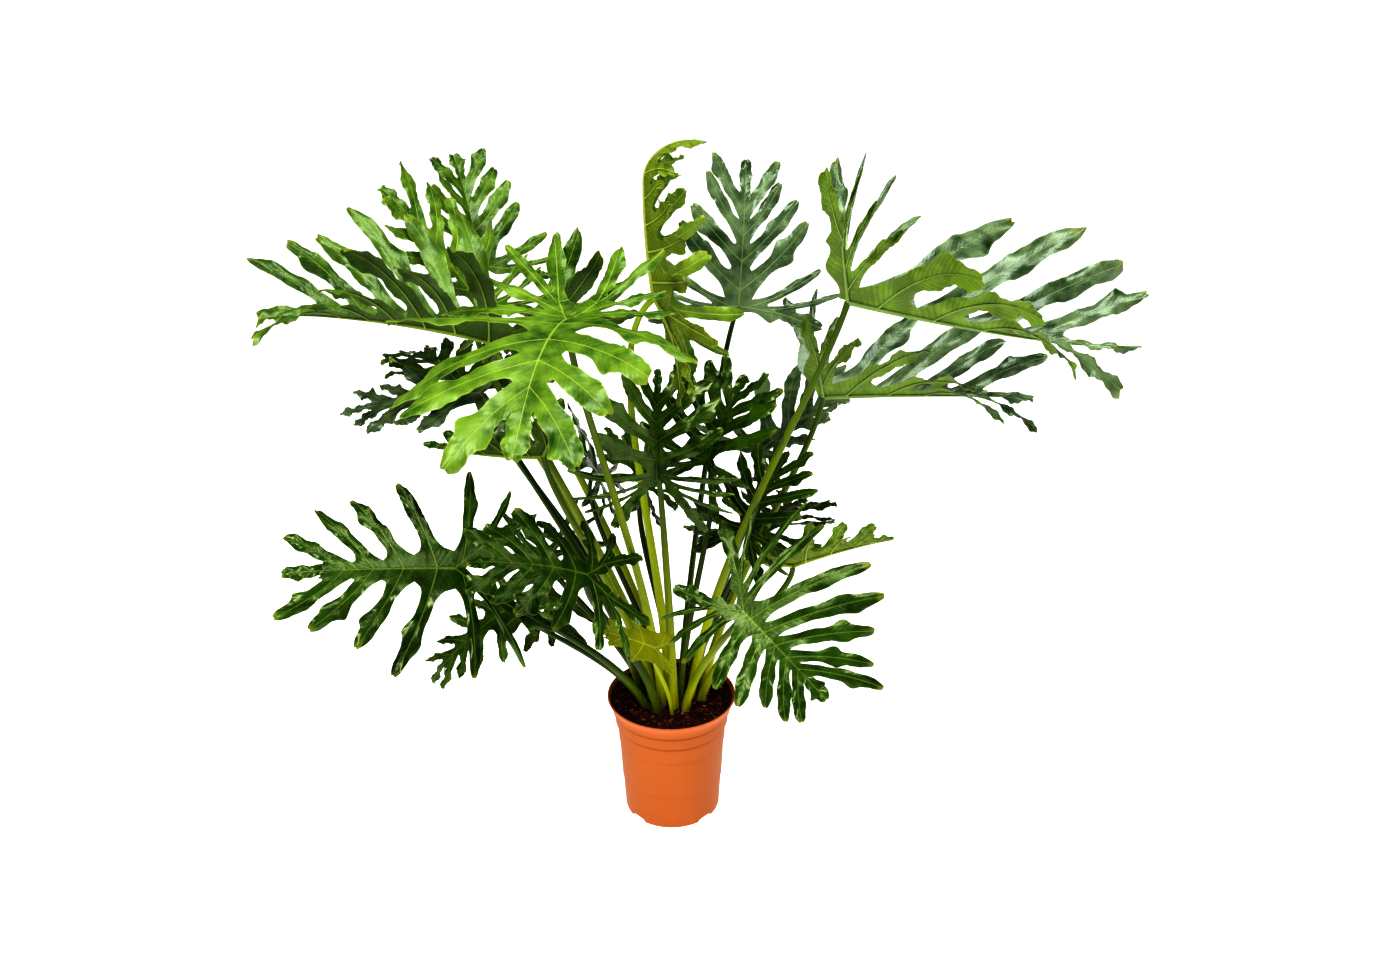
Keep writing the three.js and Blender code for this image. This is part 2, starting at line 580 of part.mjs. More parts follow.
// A closed sheet: the same triangles above and below, and a rim round the edge.
function bladeGeometry(leaf, frame) {
  const plan = new BladePlan(leaf);
  const middle = plan.points.map((point, i) =>
    shapePoint(leaf, point, plan.notes[i]).multiplyScalar(frame.length));
  const triangles = [];
  for (const [a, b, c, d] of plan.cells) {
    // The cells at a lobe's tip close to a point, so one of their halves is left out.
    for (const triangle of [[a, b, c], [a, c, d]]) {
      if (new Set(triangle).size === 3) triangles.push(triangle);
    }
  }

  const normals = middle.map(() => new THREE.Vector3());
  const edges = new Set();
  for (const triangle of triangles) {
    const [a, b, c] = triangle.map((index) => middle[index]);
    const normal = b.clone().sub(a).cross(c.clone().sub(a));
    for (const [i, index] of triangle.entries()) {
      normals[index].add(normal);
      edges.add(`${index},${triangle[(i + 1) % 3]}`);
    }
  }

  const count = middle.length;
  const positions = new Float32Array(6 * count);
  for (let i = 0; i < count; i++) {
    const normal = normals[i].normalize();
    const depth = plan.notes[i].rib ? MIDRIB_DEPTH * (1 - Math.abs(plan.points[i].x)) : 0;
    middle[i].clone().addScaledVector(normal, BLADE_THICKNESS / 2).toArray(positions, 3 * i);
    middle[i].clone().addScaledVector(normal, -BLADE_THICKNESS / 2 - depth)
      .toArray(positions, 3 * (count + i));
  }
  const index = [];
  for (const [a, b, c] of triangles) index.push(a, b, c, count + a, count + c, count + b);
  for (const edge of edges) {
    const [a, b] = edge.split(",").map(Number);
    if (!edges.has(`${b},${a}`)) index.push(b, a, count + a, b, count + a, count + b);
  }
  const geometry = new THREE.BufferGeometry();
  geometry.setAttribute("position", new THREE.BufferAttribute(positions, 3));
  geometry.setIndex(index);
  geometry.computeVertexNormals();
  return geometry;
}

function buildBlade(leaf) {
  const frame = bladeFrame(leaf);
  const blade = named(`blade_${leaf.name}`, bladeGeometry(leaf, frame), BLADE_GREENS[leaf.tone]);
  const turn = new THREE.Matrix4().makeBasis(frame.forward, frame.side, frame.normal);
  blade.quaternion.setFromRotationMatrix(turn);
  blade.position.copy(frame.junction);
  return blade;
}

// The line of a petiole: a straight root in the soil, then one bend up to the blade.
function petioleLine(leaf) {
  const frame = bladeFrame(leaf);
  const foot = new THREE.Vector3(leaf.root[0], leaf.root[1], PETIOLE_BASE_Z);
  const under = BLADE_THICKNESS / 2 + MIDRIB_DEPTH + 2 * GAP;
  const top = frame.junction.clone().addScaledVector(frame.normal, -under);
  const span = top.clone().sub(foot);
  const outward = lerp(0.33, 0.12, leaf.bow);
  const upward = lerp(0.33, 0.42, leaf.bow);
  const rise = new THREE.Vector3(span.x * outward, span.y * outward, span.z * upward);
  const arrive = span.clone().normalize().multiplyScalar(leaf.lean).add(frame.normal).normalize();
  const curve = new THREE.CubicBezierCurve3(
    foot,
    foot.clone().add(rise),
    top.clone().addScaledVector(arrive, -leaf.reach * span.length()),
    top,
  );
  return { curve, start: rise.normalize(), end: frame.normal };
}

// A cylinder bent along the petiole's line, thinner towards the blade.
function petioleGeometry(leaf) {
  const { curve, start, end } = petioleLine(leaf);
  const rows = PETIOLE_STEPS + 2;
  const geometry = new THREE.CylinderGeometry(1, 1, 1, PETIOLE_SIDES, rows - 1);
  const middles = [curve.v0.clone().addScaledVector(start, -PETIOLE_ROOT)];
  const directions = [start];
  const radii = [leaf.base];
  for (let i = 0; i <= PETIOLE_STEPS; i++) {
    const t = i / PETIOLE_STEPS;
    middles.push(curve.getPoint(t));
    directions.push(i === 0 ? start : i === PETIOLE_STEPS ? end : curve.getTangent(t));
    radii.push(lerp(leaf.base, leaf.neck, t));
  }
  const frames = [];
  let across = new THREE.Vector3(1, 0, 0);
  for (const direction of directions) {
    across = across.clone().addScaledVector(direction, -across.dot(direction)).normalize();
    frames.push([across, direction.clone().cross(across)]);
  }
  const position = geometry.attributes.position;
  for (let i = 0; i < position.count; i++) {
    const row = Math.round((position.getY(i) + 0.5) * (rows - 1));
    const [x, z] = [position.getX(i), position.getZ(i)];
    const point = middles[row].clone()
      .addScaledVector(frames[row][0], x * radii[row])
      .addScaledVector(frames[row][1], -z * radii[row]);
    position.setXYZ(i, point.x, point.y, point.z);
  }
  geometry.computeVertexNormals();
  return geometry;
}

function buildPetiole(leaf) {
  return named(`petiole_${leaf.name}`, petioleGeometry(leaf), PETIOLE_GREEN);
}

// ---------------------------------------------------------------- soil

// The fill of the pot, with a plain blind hole for the root of every petiole.
function buildSoil(leaves) {
  const crumble = (SOIL_CROWN - SOIL_EDGE) / 2;
  const inset = WALL + 2 * GAP;
  const profile = [
    [0, FLOOR_THICKNESS + GAP],
    [PAD_RADIUS - PAD_SLOPE - 2 * GAP, FLOOR_THICKNESS + GAP],
    [PAD_RADIUS - 2 * GAP, FLOOR_TOP + GAP],
    [FOOT_RADIUS - inset, FLOOR_TOP + GAP],
    [SHOULDER_RADIUS - inset, INNER_SHOULDER],
    [BAND_RADIUS - inset, LIP_FOOT],
    [SOIL_RADIUS, SOIL_EDGE],
    [0.8 * SOIL_RADIUS, SOIL_EDGE + crumble],
    [CROWN_RADIUS, SOIL_CROWN],
    [0.5 * CROWN_RADIUS, SOIL_CROWN - crumble],
    [0, SOIL_CROWN],
  ];
  let soil = toSolid(latheZ(profile, POT_SIDES));
  for (const leaf of leaves) {
    const { curve, start } = petioleLine(leaf);
    const radius = (leaf.base + GAP) / Math.cos(Math.PI / PETIOLE_SIDES);
    const bottom = PETIOLE_ROOT + GAP;
    const length = bottom + PETIOLE_ROOT;
    const hole = new THREE.CylinderGeometry(radius, radius, length, PETIOLE_SIDES);
    hole.translate(0, length / 2 - bottom, 0);
    hole.applyQuaternion(new THREE.Quaternion().setFromUnitVectors(UP, start));
    hole.translate(...curve.v0.toArray());
    soil = soil.subtract(toSolid(hole));
  }
  return named("soil", toGeometry(soil), SOIL);
}

// ---------------------------------------------------------------- the plant

const plant = new THREE.Group();
const leaves = LEAVES.map((leaf) => ({ ...LEAF, ...leaf }));
plant.add(buildPot());
plant.add(buildSoil(leaves));
for (const leaf of leaves) {
  plant.add(buildPetiole(leaf));
  plant.add(buildBlade(leaf));
}

export default plant;
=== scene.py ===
# %% [markdown]
# # A split-leaf philodendron in its nursery pot
#
# The plant has 25 leaves. Each one is a long stalk, the petiole, that rises from the
# soil, and a blade that is cut into many lobes. Packed CAD solids already give every
# piece its place and its coarse form. This script keeps that frame and dresses it:
# each solid is replaced by a finer mesh of the same form, with a finish of its own.
#
# +Z is up, and the plant's best side faces -Y. The sizes of the pot, the leaves and the
# soil are given in millimetres, and MM turns them into the metres that Blender, the
# finishes and the Geometry Nodes work in.

# %% Load the CAD frame
import math
from types import SimpleNamespace

import bpy
import numpy as np
from mathutils import Matrix, Vector, noise


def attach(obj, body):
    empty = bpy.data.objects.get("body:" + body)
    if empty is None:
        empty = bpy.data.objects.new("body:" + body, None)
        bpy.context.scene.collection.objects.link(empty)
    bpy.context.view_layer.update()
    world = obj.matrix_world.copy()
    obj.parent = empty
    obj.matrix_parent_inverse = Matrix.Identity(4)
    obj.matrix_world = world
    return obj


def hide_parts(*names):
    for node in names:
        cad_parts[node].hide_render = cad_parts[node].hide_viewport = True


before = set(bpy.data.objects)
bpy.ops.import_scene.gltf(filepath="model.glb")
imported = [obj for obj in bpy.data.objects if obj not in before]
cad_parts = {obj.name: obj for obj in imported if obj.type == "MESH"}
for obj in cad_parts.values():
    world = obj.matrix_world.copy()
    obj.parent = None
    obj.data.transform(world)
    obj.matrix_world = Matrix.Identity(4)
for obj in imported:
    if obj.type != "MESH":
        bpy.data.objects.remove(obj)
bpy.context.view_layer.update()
MM = 0.001
print("CAD nodes:", len(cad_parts))

# %% [markdown]
# ## Nodes written as expressions
#
# Finishes and Geometry Nodes are both trees of small nodes. Written out one link at a
# time they are hard to read, so a socket is wrapped in a class that knows the usual
# operators: `1 - mask` then adds a Math node by itself. Every other node comes from
# one method, which takes the node's type, its settings and the values of its sockets.
# Some nodes keep spare sockets of the same name for other kinds of value, so a name is
# looked up among the sockets that are in use.

# %% Sockets
def find_socket(sockets, key):
    """A socket by its number, or the first one in use with that name (None: any name)."""
    if isinstance(key, int):
        return sockets[key]
    return next(socket for socket in sockets if socket.enabled and key in (None, socket.name))


def operator(operation, swapped=False):
    """A method that adds a Math node on a socket and one other value."""
    def method(socket, other):
        first, second = (other, socket) if swapped else (socket, other)
        return socket.tree.math(operation, first, second)
    return method


class Socket:
    """An output of a node. Arithmetic on it adds Math nodes to its tree."""

    __add__, __radd__ = operator("ADD"), operator("ADD", True)
    __sub__, __rsub__ = operator("SUBTRACT"), operator("SUBTRACT", True)
    __mul__, __rmul__ = operator("MULTIPLY"), operator("MULTIPLY", True)
    __truediv__ = operator("DIVIDE")
    __pow__ = operator("POWER")

    def __init__(self, tree, socket):
        self.tree = tree
        self.socket = socket

    def __abs__(self):
        return self.math("ABSOLUTE")

    def math(self, operation, *others):
        return self.tree.math(operation, self, *others)

    def ramp(self, start, end):
        """0 where the value is at start, 1 where it is at end, and smooth between."""
        values = {"Value": self, "From Min": start, "From Max": end}
        return self.tree.node("ShaderNodeMapRange", {"interpolation_type": "SMOOTHSTEP"}, values)

    def other(self, name):
        """Another output of the same node."""
        return Socket(self.tree, self.socket.node.outputs[name])


print("reflected operators:", [name for name in vars(Socket) if name.startswith("__r")])

# %% Trees and finishes
class Tree:
    """A node tree that is built from top to bottom."""

    def __init__(self, tree):
        self.nodes = tree.nodes
        self.links = tree.links

    def node(self, kind, settings=None, values=None, output=None):
        """A node with its settings; each socket takes a value, a link or a list of links."""
        node = self.nodes.new(kind)
        for name, value in (settings or {}).items():
            setattr(node, name, value)
        for key, value in (values or {}).items():
            socket = find_socket(node.inputs, key)
            for item in value if isinstance(value, list) else [value]:
                if isinstance(item, Socket):
                    self.links.new(item.socket, socket)
                else:
                    socket.default_value = item
        return Socket(self, find_socket(node.outputs, output)) if len(node.outputs) else node

    def math(self, operation, *values):
        return self.node("ShaderNodeMath", {"operation": operation}, dict(enumerate(values)))

    def vector(self, operation, *values, **named):
        values = {**dict(enumerate(values)), **named}
        return self.node("ShaderNodeVectorMath", {"operation": operation}, values)

    def part(self, vector, axis):
        """One of the three numbers of a vector."""
        return self.node("ShaderNodeSeparateXYZ", values={0: vector}, output=axis)

    def combined(self, x, y, z=0):
        return self.node("ShaderNodeCombineXYZ", values={0: x, 1: y, 2: z})

    def mix(self, factor, first, second):
        """first where factor is 0 and second where it is 1, both of them colours."""
        values = {"Factor": factor, "A": first, "B": second}
        return self.node("ShaderNodeMix", {"data_type": "RGBA"}, values)


class Finish(Tree):
    """A material that is built round one Principled BSDF."""

    def __init__(self, name, **constants):
        self.material = bpy.data.materials.new(name)
        self.material.use_nodes = True
        super().__init__(self.material.node_tree)
        self.shader = self.nodes["Principled BSDF"]
        for socket, value in constants.items():
            self.shader.inputs[socket.replace("_", " ")].default_value = value

    def attribute(self, name):
        return self.node("ShaderNodeAttribute", {"attribute_name": name}, output="Fac")

    def place(self):
        return self.node("ShaderNodeTexCoord", output="Object")

    def noise(self, scale, detail=3, vector=None):
        values = {"Vector": vector or self.place(), "Scale": scale, "Detail": detail}
        return self.node("ShaderNodeTexNoise", values=values)

    def plug(self, socket, value):
        self.links.new(value.socket, self.shader.inputs[socket])

    def bump(self, height, strength, distance):
        """Relief: height 1 stands out by distance metres."""
        values = {"Height": height, "Strength": strength, "Distance": distance}
        self.plug("Normal", self.node("ShaderNodeBump", values=values))


def colour(red, green, blue):
    """A colour as it looks on a screen (0 to 255), in the linear values that nodes use."""
    channels = (channel / 255 for channel in (red, green, blue))
    linear = [c / 12.92 if c < 0.04045 else ((c + 0.055) / 1.055) ** 2.4 for c in channels]
    return (*linear, 1)


WHITE = colour(255, 255, 255)
print("mid grey in linear values:", round(colour(128, 128, 128)[0], 3))

# %% [markdown]
# ## The camera, the floor and the light
#
# A tall plant is best seen from a little above its middle. The camera stands 1.7 m
# away and 1.4 m above the floor, and looks 24 degrees down. A lens of 32 mm takes in
# the whole plant with air around it. The large soft lamps are those of a plain studio:
# one from the upper left in front, one from straight above, and a weak one that opens
# up the shadows. The pale floor also gives off a little light, so that it stays white
# under the plant, and the picture is developed with high contrast.

# %% Camera
CAMERA_PLACE = (0.047, -1.734, 1.367)
CAMERA_DIP = 24          # degrees
LENS = 32.14


def add_to_scene(name, data):
    thing = bpy.data.objects.new(name, data)
    bpy.context.scene.collection.objects.link(thing)
    return thing


camera = add_to_scene("camera", bpy.data.cameras.new("camera"))
camera.data.sensor_width = 36
camera.data.lens = LENS
camera.data.clip_end = 50
camera.location = CAMERA_PLACE
camera.rotation_euler = (math.radians(90 - CAMERA_DIP), 0, 0)
bpy.context.scene.camera = camera
print("camera at", CAMERA_PLACE)

# %% Lamps
PLANT_MIDDLE = Vector((0, 0, 0.65))
LAMPS = {                # place, width and power
    "key": ((-1.5, -2.3, 3.2), 1.0, 84),
    "fill": ((2.6, -2.2, 1.9), 2.0, 8),
    "top": ((0.5, -0.4, 3.1), 1.6, 60),
}
for name, (place, width, power) in LAMPS.items():
    lamp = add_to_scene(name, bpy.data.lights.new(name, "AREA"))
    lamp.data.shape = "DISK"
    lamp.data.size = width
    lamp.data.energy = power
    lamp.location = place
    lamp.rotation_euler = (PLANT_MIDDLE - Vector(place)).to_track_quat("-Z", "Y").to_euler()

world = bpy.data.worlds.new("studio")
world.use_nodes = True
world.node_tree.nodes["Background"].inputs["Color"].default_value = WHITE
world.node_tree.nodes["Background"].inputs["Strength"].default_value = 0.1
bpy.context.scene.world = world
bpy.context.scene.view_settings.view_transform = "Standard"
bpy.context.scene.view_settings.look = "Very High Contrast"
print("lamps:", ", ".join(LAMPS))

# %% Floor
FLOOR_HALF = 60
floor_finish = Finish("floor", Roughness=0.9, Specular_IOR_Level=0.2,
                      Emission_Color=WHITE, Emission_Strength=0.6)
floor_white = floor_finish.mix(floor_finish.noise(3, 2), colour(243, 243, 242), colour(247, 247, 246))
floor_finish.plug("Base Color", floor_white)
floor_mesh = bpy.data.meshes.new("floor")
corners = [(x * FLOOR_HALF, y * FLOOR_HALF, 0) for x, y in ((-1, -1), (1, -1), (1, 1), (-1, 1))]
floor_mesh.from_pydata(corners, [], [(0, 1, 2, 3)])
floor_mesh.materials.append(floor_finish.material)
floor = add_to_scene("floor", floor_mesh)
print("floor:", 2 * FLOOR_HALF, "m wide")

# %% [markdown]
# ## The pot
#
# A nursery pot is moulded in one shot from thin plastic, so it is a body of
# revolution: a flared lip, a plain band under it, and a wall that narrows to a foot,
# with two ledges and two faint ridges round it. Spinning a profile gives all of that.
# What isn't round, the arched notches in the foot and the drain holes in the floor, is
# cut out with one Boolean afterwards. Sharp corners of the profile are replaced by
# short arcs first, because no moulded edge is sharp and the arcs catch the light.

# %% Profile of the pot
POT_SIDES = 144
POT_OUTSIDE = [          # radius, height and rounding of each corner
    (0, 0, 0), (22, 0, 1), (25, 9, 1), (74, 9, 1), (74, 0, 0.6), (79, 0, 1.6),
    (82.0, 59, 0.5), (83.1, 60.5, 0.5), (86.4, 131, 0.5), (87.6, 132.5, 0.5),
    (89.2, 163, 0.8), (92.6, 165.5, 1.2), (93.5, 186.5, 0.8), (97.0, 188.5, 1.4),
    (98.8, 200, 6), (103.6, 208.5, 2), (105, 211.6, 0.8), (104.3, 213, 0.6),
]
POT_INSIDE = [
    (102.7, 213, 0.5), (101.1, 210, 2), (92.6, 189, 4), (87.1, 161, 4), (76.6, 12, 2),
    (22, 12, 1), (19, 3, 1), (0, 3, 0),
]


def turns(count):
    """Angles that divide a full turn evenly."""
    return [2 * math.pi * i / count for i in range(count)]


def rounded(profile, steps=4):
    """Points of a profile in which a short arc takes the place of each corner."""
    points = []
    for i, (radius, height, rounding) in enumerate(profile):
        corner = Vector((radius, height))
        if rounding == 0:
            points.append(corner)
            continue
        before = (Vector(profile[i - 1][:2]) - corner).normalized() * rounding
        after = (Vector(profile[i + 1][:2]) - corner).normalized() * rounding
        for step in range(steps + 1):
            t = step / steps
            points.append(corner + before * (1 - t) ** 2 + after * t ** 2)
    return points


def spun(name, profile, sides):
    """A closed solid of revolution round Z, from points in millimetres."""
    vertices, rings, faces = [], [], []
    for point in profile:
        angles = turns(sides) if point.x > 0 else [0]
        rings.append(range(len(vertices), len(vertices) + len(angles)))
        for angle in angles:
            place = Vector((point.x * math.cos(angle), point.x * math.sin(angle), point.y))
            vertices.append(place * MM)
    for near, far in zip(rings, rings[1:]):
        for i in range(sides):
            a, b = i, (i + 1) % sides
            face = (near[a % len(near)], near[b % len(near)], far[b % len(far)], far[a % len(far)])
            faces.append(tuple(dict.fromkeys(face)))      # at a pole two corners are one
    mesh = bpy.data.meshes.new(name)
    mesh.from_pydata(vertices, [], faces)
    return mesh


pot = add_to_scene("pot_shell", spun("pot_shell", rounded(POT_OUTSIDE + POT_INSIDE), POT_SIDES))
print("pot faces before the cuts:", len(pot.data.polygons))

# %% Cutter for the notches and drain holes
NOTCH_COUNT = 4
NOTCH_WIDTH = 30
NOTCH_HEIGHT = 7
NOTCH_STEPS = 16
NOTCH_START = 69         # from the pot's axis
DRAIN_COUNT = 6
DRAIN_SIDES = 32
DRAIN_RADIUS = 6
DRAIN_CIRCLE = 45        # from the pot's axis to a hole's
CUT_LENGTH = 20
BELOW_GROUND = 2         # how far the cutter reaches below the pot


def prism(outline, start, place):
    """A bar with that outline (y, z), CUT_LENGTH long from start on X, moved by a matrix."""
    count = len(outline)
    corners = [place @ Vector((x, y, z)) * MM for x in (start, start + CUT_LENGTH) for y, z in outline]
    sides = [(i, (i + 1) % count, count + (i + 1) % count, count + i) for i in range(count)]
    return corners, sides + [tuple(range(count))[::-1], tuple(range(count, 2 * count))]


def cutter_mesh():
    """A bar through the wall for each notch, and one through the floor for each hole."""
    arch = [(-NOTCH_WIDTH / 2, -BELOW_GROUND), (NOTCH_WIDTH / 2, -BELOW_GROUND)]
    for step in range(NOTCH_STEPS + 1):
        angle = math.pi * step / NOTCH_STEPS
        arch.append((NOTCH_WIDTH / 2 * math.cos(angle), NOTCH_HEIGHT * math.sin(angle) ** 0.7))
    circle = [(DRAIN_RADIUS * math.cos(a), DRAIN_RADIUS * math.sin(a)) for a in turns(DRAIN_SIDES)]
    half_step = math.pi / NOTCH_COUNT
    bars = [prism(arch, NOTCH_START, Matrix.Rotation(angle + half_step, 4, "Z"))
            for angle in turns(NOTCH_COUNT)]
    upright = Matrix.Translation((DRAIN_CIRCLE, 0, 0)) @ Matrix.Rotation(-math.pi / 2, 4, "Y")
    bars += [prism(circle, -BELOW_GROUND, Matrix.Rotation(angle, 4, "Z") @ upright)
             for angle in turns(DRAIN_COUNT)]
    vertices, faces = [], []
    for corners, sides in bars:
        faces += [[len(vertices) + k for k in side] for side in sides]
        vertices += corners
    mesh = bpy.data.meshes.new("pot_cutter")
    mesh.from_pydata(vertices, [], faces)
    return mesh


cutter = add_to_scene("pot_cutter", cutter_mesh())
print("cutter faces:", len(cutter.data.polygons))

# %% Cutting the pot
POT_CREASE = math.radians(35)


def apply_modifiers(thing):
    """Keep the mesh that an object's modifiers make, and drop the modifiers."""
    graph = bpy.context.evaluated_depsgraph_get()
    mesh = bpy.data.meshes.new_from_object(thing.evaluated_get(graph))
    mesh.name = thing.name
    thing.modifiers.clear()
    thing.data = mesh


cut = pot.modifiers.new("cuts", "BOOLEAN")
cut.operation = "DIFFERENCE"
cut.solver = "EXACT"
cut.object = cutter
apply_modifiers(pot)
bpy.data.objects.remove(cutter)
pot.data.shade_smooth()
pot.data.set_sharp_from_angle(angle=POT_CREASE)
print("pot faces:", len(pot.data.polygons))

# %% [markdown]
# ## The finish of the pot
#
# The plastic is a matte terracotta orange. Thin plastic of this kind is never quite
# even: it has tiny flow marks, and soil and water leave dull spots near the foot.
# Noise at three sizes does this, and all of it reads Object coordinates, so that it
# stays put on the piece. The upper lip is painted paler, a painted highlight where the
# light catches it, and a dark line of painted shade sits along each ledge and ridge.

# %% Terracotta plastic
LEDGES = ((0.1856, 0.6), (0.1626, 0.55), (0.1316, 0.14), (0.0594, 0.14))  # height, strength of the painted shade


def dress(piece, node):
    """Tie a finished piece to the one body, in the place of its CAD node."""
    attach(piece, "root")
    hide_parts(node)


terracotta = Finish("terracotta_plastic", Specular_IOR_Level=0.25)
height = terracotta.part(terracotta.place(), "Z")
cloud = terracotta.noise(14, 4)
grain = terracotta.noise(900, 2)
spots = terracotta.noise(70, 5).ramp(0.66, 0.74) * height.ramp(0.11, 0.0)
orange = terracotta.mix(cloud, colour(168, 92, 32), colour(177, 99, 40))
# Painted highlight: the upper lip is painted paler where the light catches it.
orange = terracotta.mix(height.ramp(0.19, 0.211) * 0.6, orange, colour(198, 112, 66))
# Painted shade: a dark line along each ledge and ridge, where the ledge would shade the wall.
ledge_shade = sum(strength * (1 - abs(height - z).ramp(0.0008, 0.0048)) for z, strength in LEDGES)
orange = terracotta.mix(ledge_shade, orange, colour(136, 56, 2))
terracotta.plug("Base Color", terracotta.mix(spots * 0.45, orange, colour(150, 72, 36)))
terracotta.plug("Roughness", 0.46 + cloud * 0.16 + spots * 0.2)
terracotta.bump(grain * 0.35 + cloud * 0.65, 0.25, 0.0004)
pot.data.materials.append(terracotta.material)
dress(pot, "pot")
print("finish:", terracotta.material.name)

# %% [markdown]
# ## What a leaf is
#
# All leaves follow one rule, and a short row of numbers makes each of them different.
# `root` is where the stalk leaves the soil, `at` is where it meets the blade, and
# `tip` is the end of the blade. `seed` starts the leaf's random details. The CAD solids
# were made from the same numbers.
#
# The outline comes first. `front` and `back` count the lobes ahead of and behind the
# junction, `wide` and `strap` are their length and width, `tail` is the length of the
# rear ones, and `lop` makes the left half larger than the right one. The lobes turn
# from `first` next to the tip to `spread` at the rear, and `sinus` is how much green
# joins them.
#
# Then the blade bends, by angles in degrees. `bend` and `nape` are the droop ahead of
# and behind the junction, and from the place `knee` on it hooks over by `hook`. `fold`
# is the V of the two halves, which `open` flattens towards the tip, and `arch` is
# their own droop. `twist` turns the tip and `roll` the whole blade, whose face looks
# `up` before that. `base` and `neck` are the stalk's radius at its foot and under the
# blade, and `tone` and `stalk` name the two finishes.

# %% The 25 leaves
LEAF = dict(
    tone="deep", stalk="green", front=4, back=2, wide=1, strap=1, tail=1, lop=0,
    first=38, spread=140, sinus=0.075,
    bend=10, nape=-20, knee=2.0, hook=0, fold=10, arch=-25, open=0.3,
    twist=0, roll=0, up=(0, 0, 1), base=7.5, neck=4.2,
)


def leaf(name, root, at, tip, seed, **details):
    return SimpleNamespace(name=name, root=root, at=at, tip=tip, seed=seed, **{**LEAF, **details})


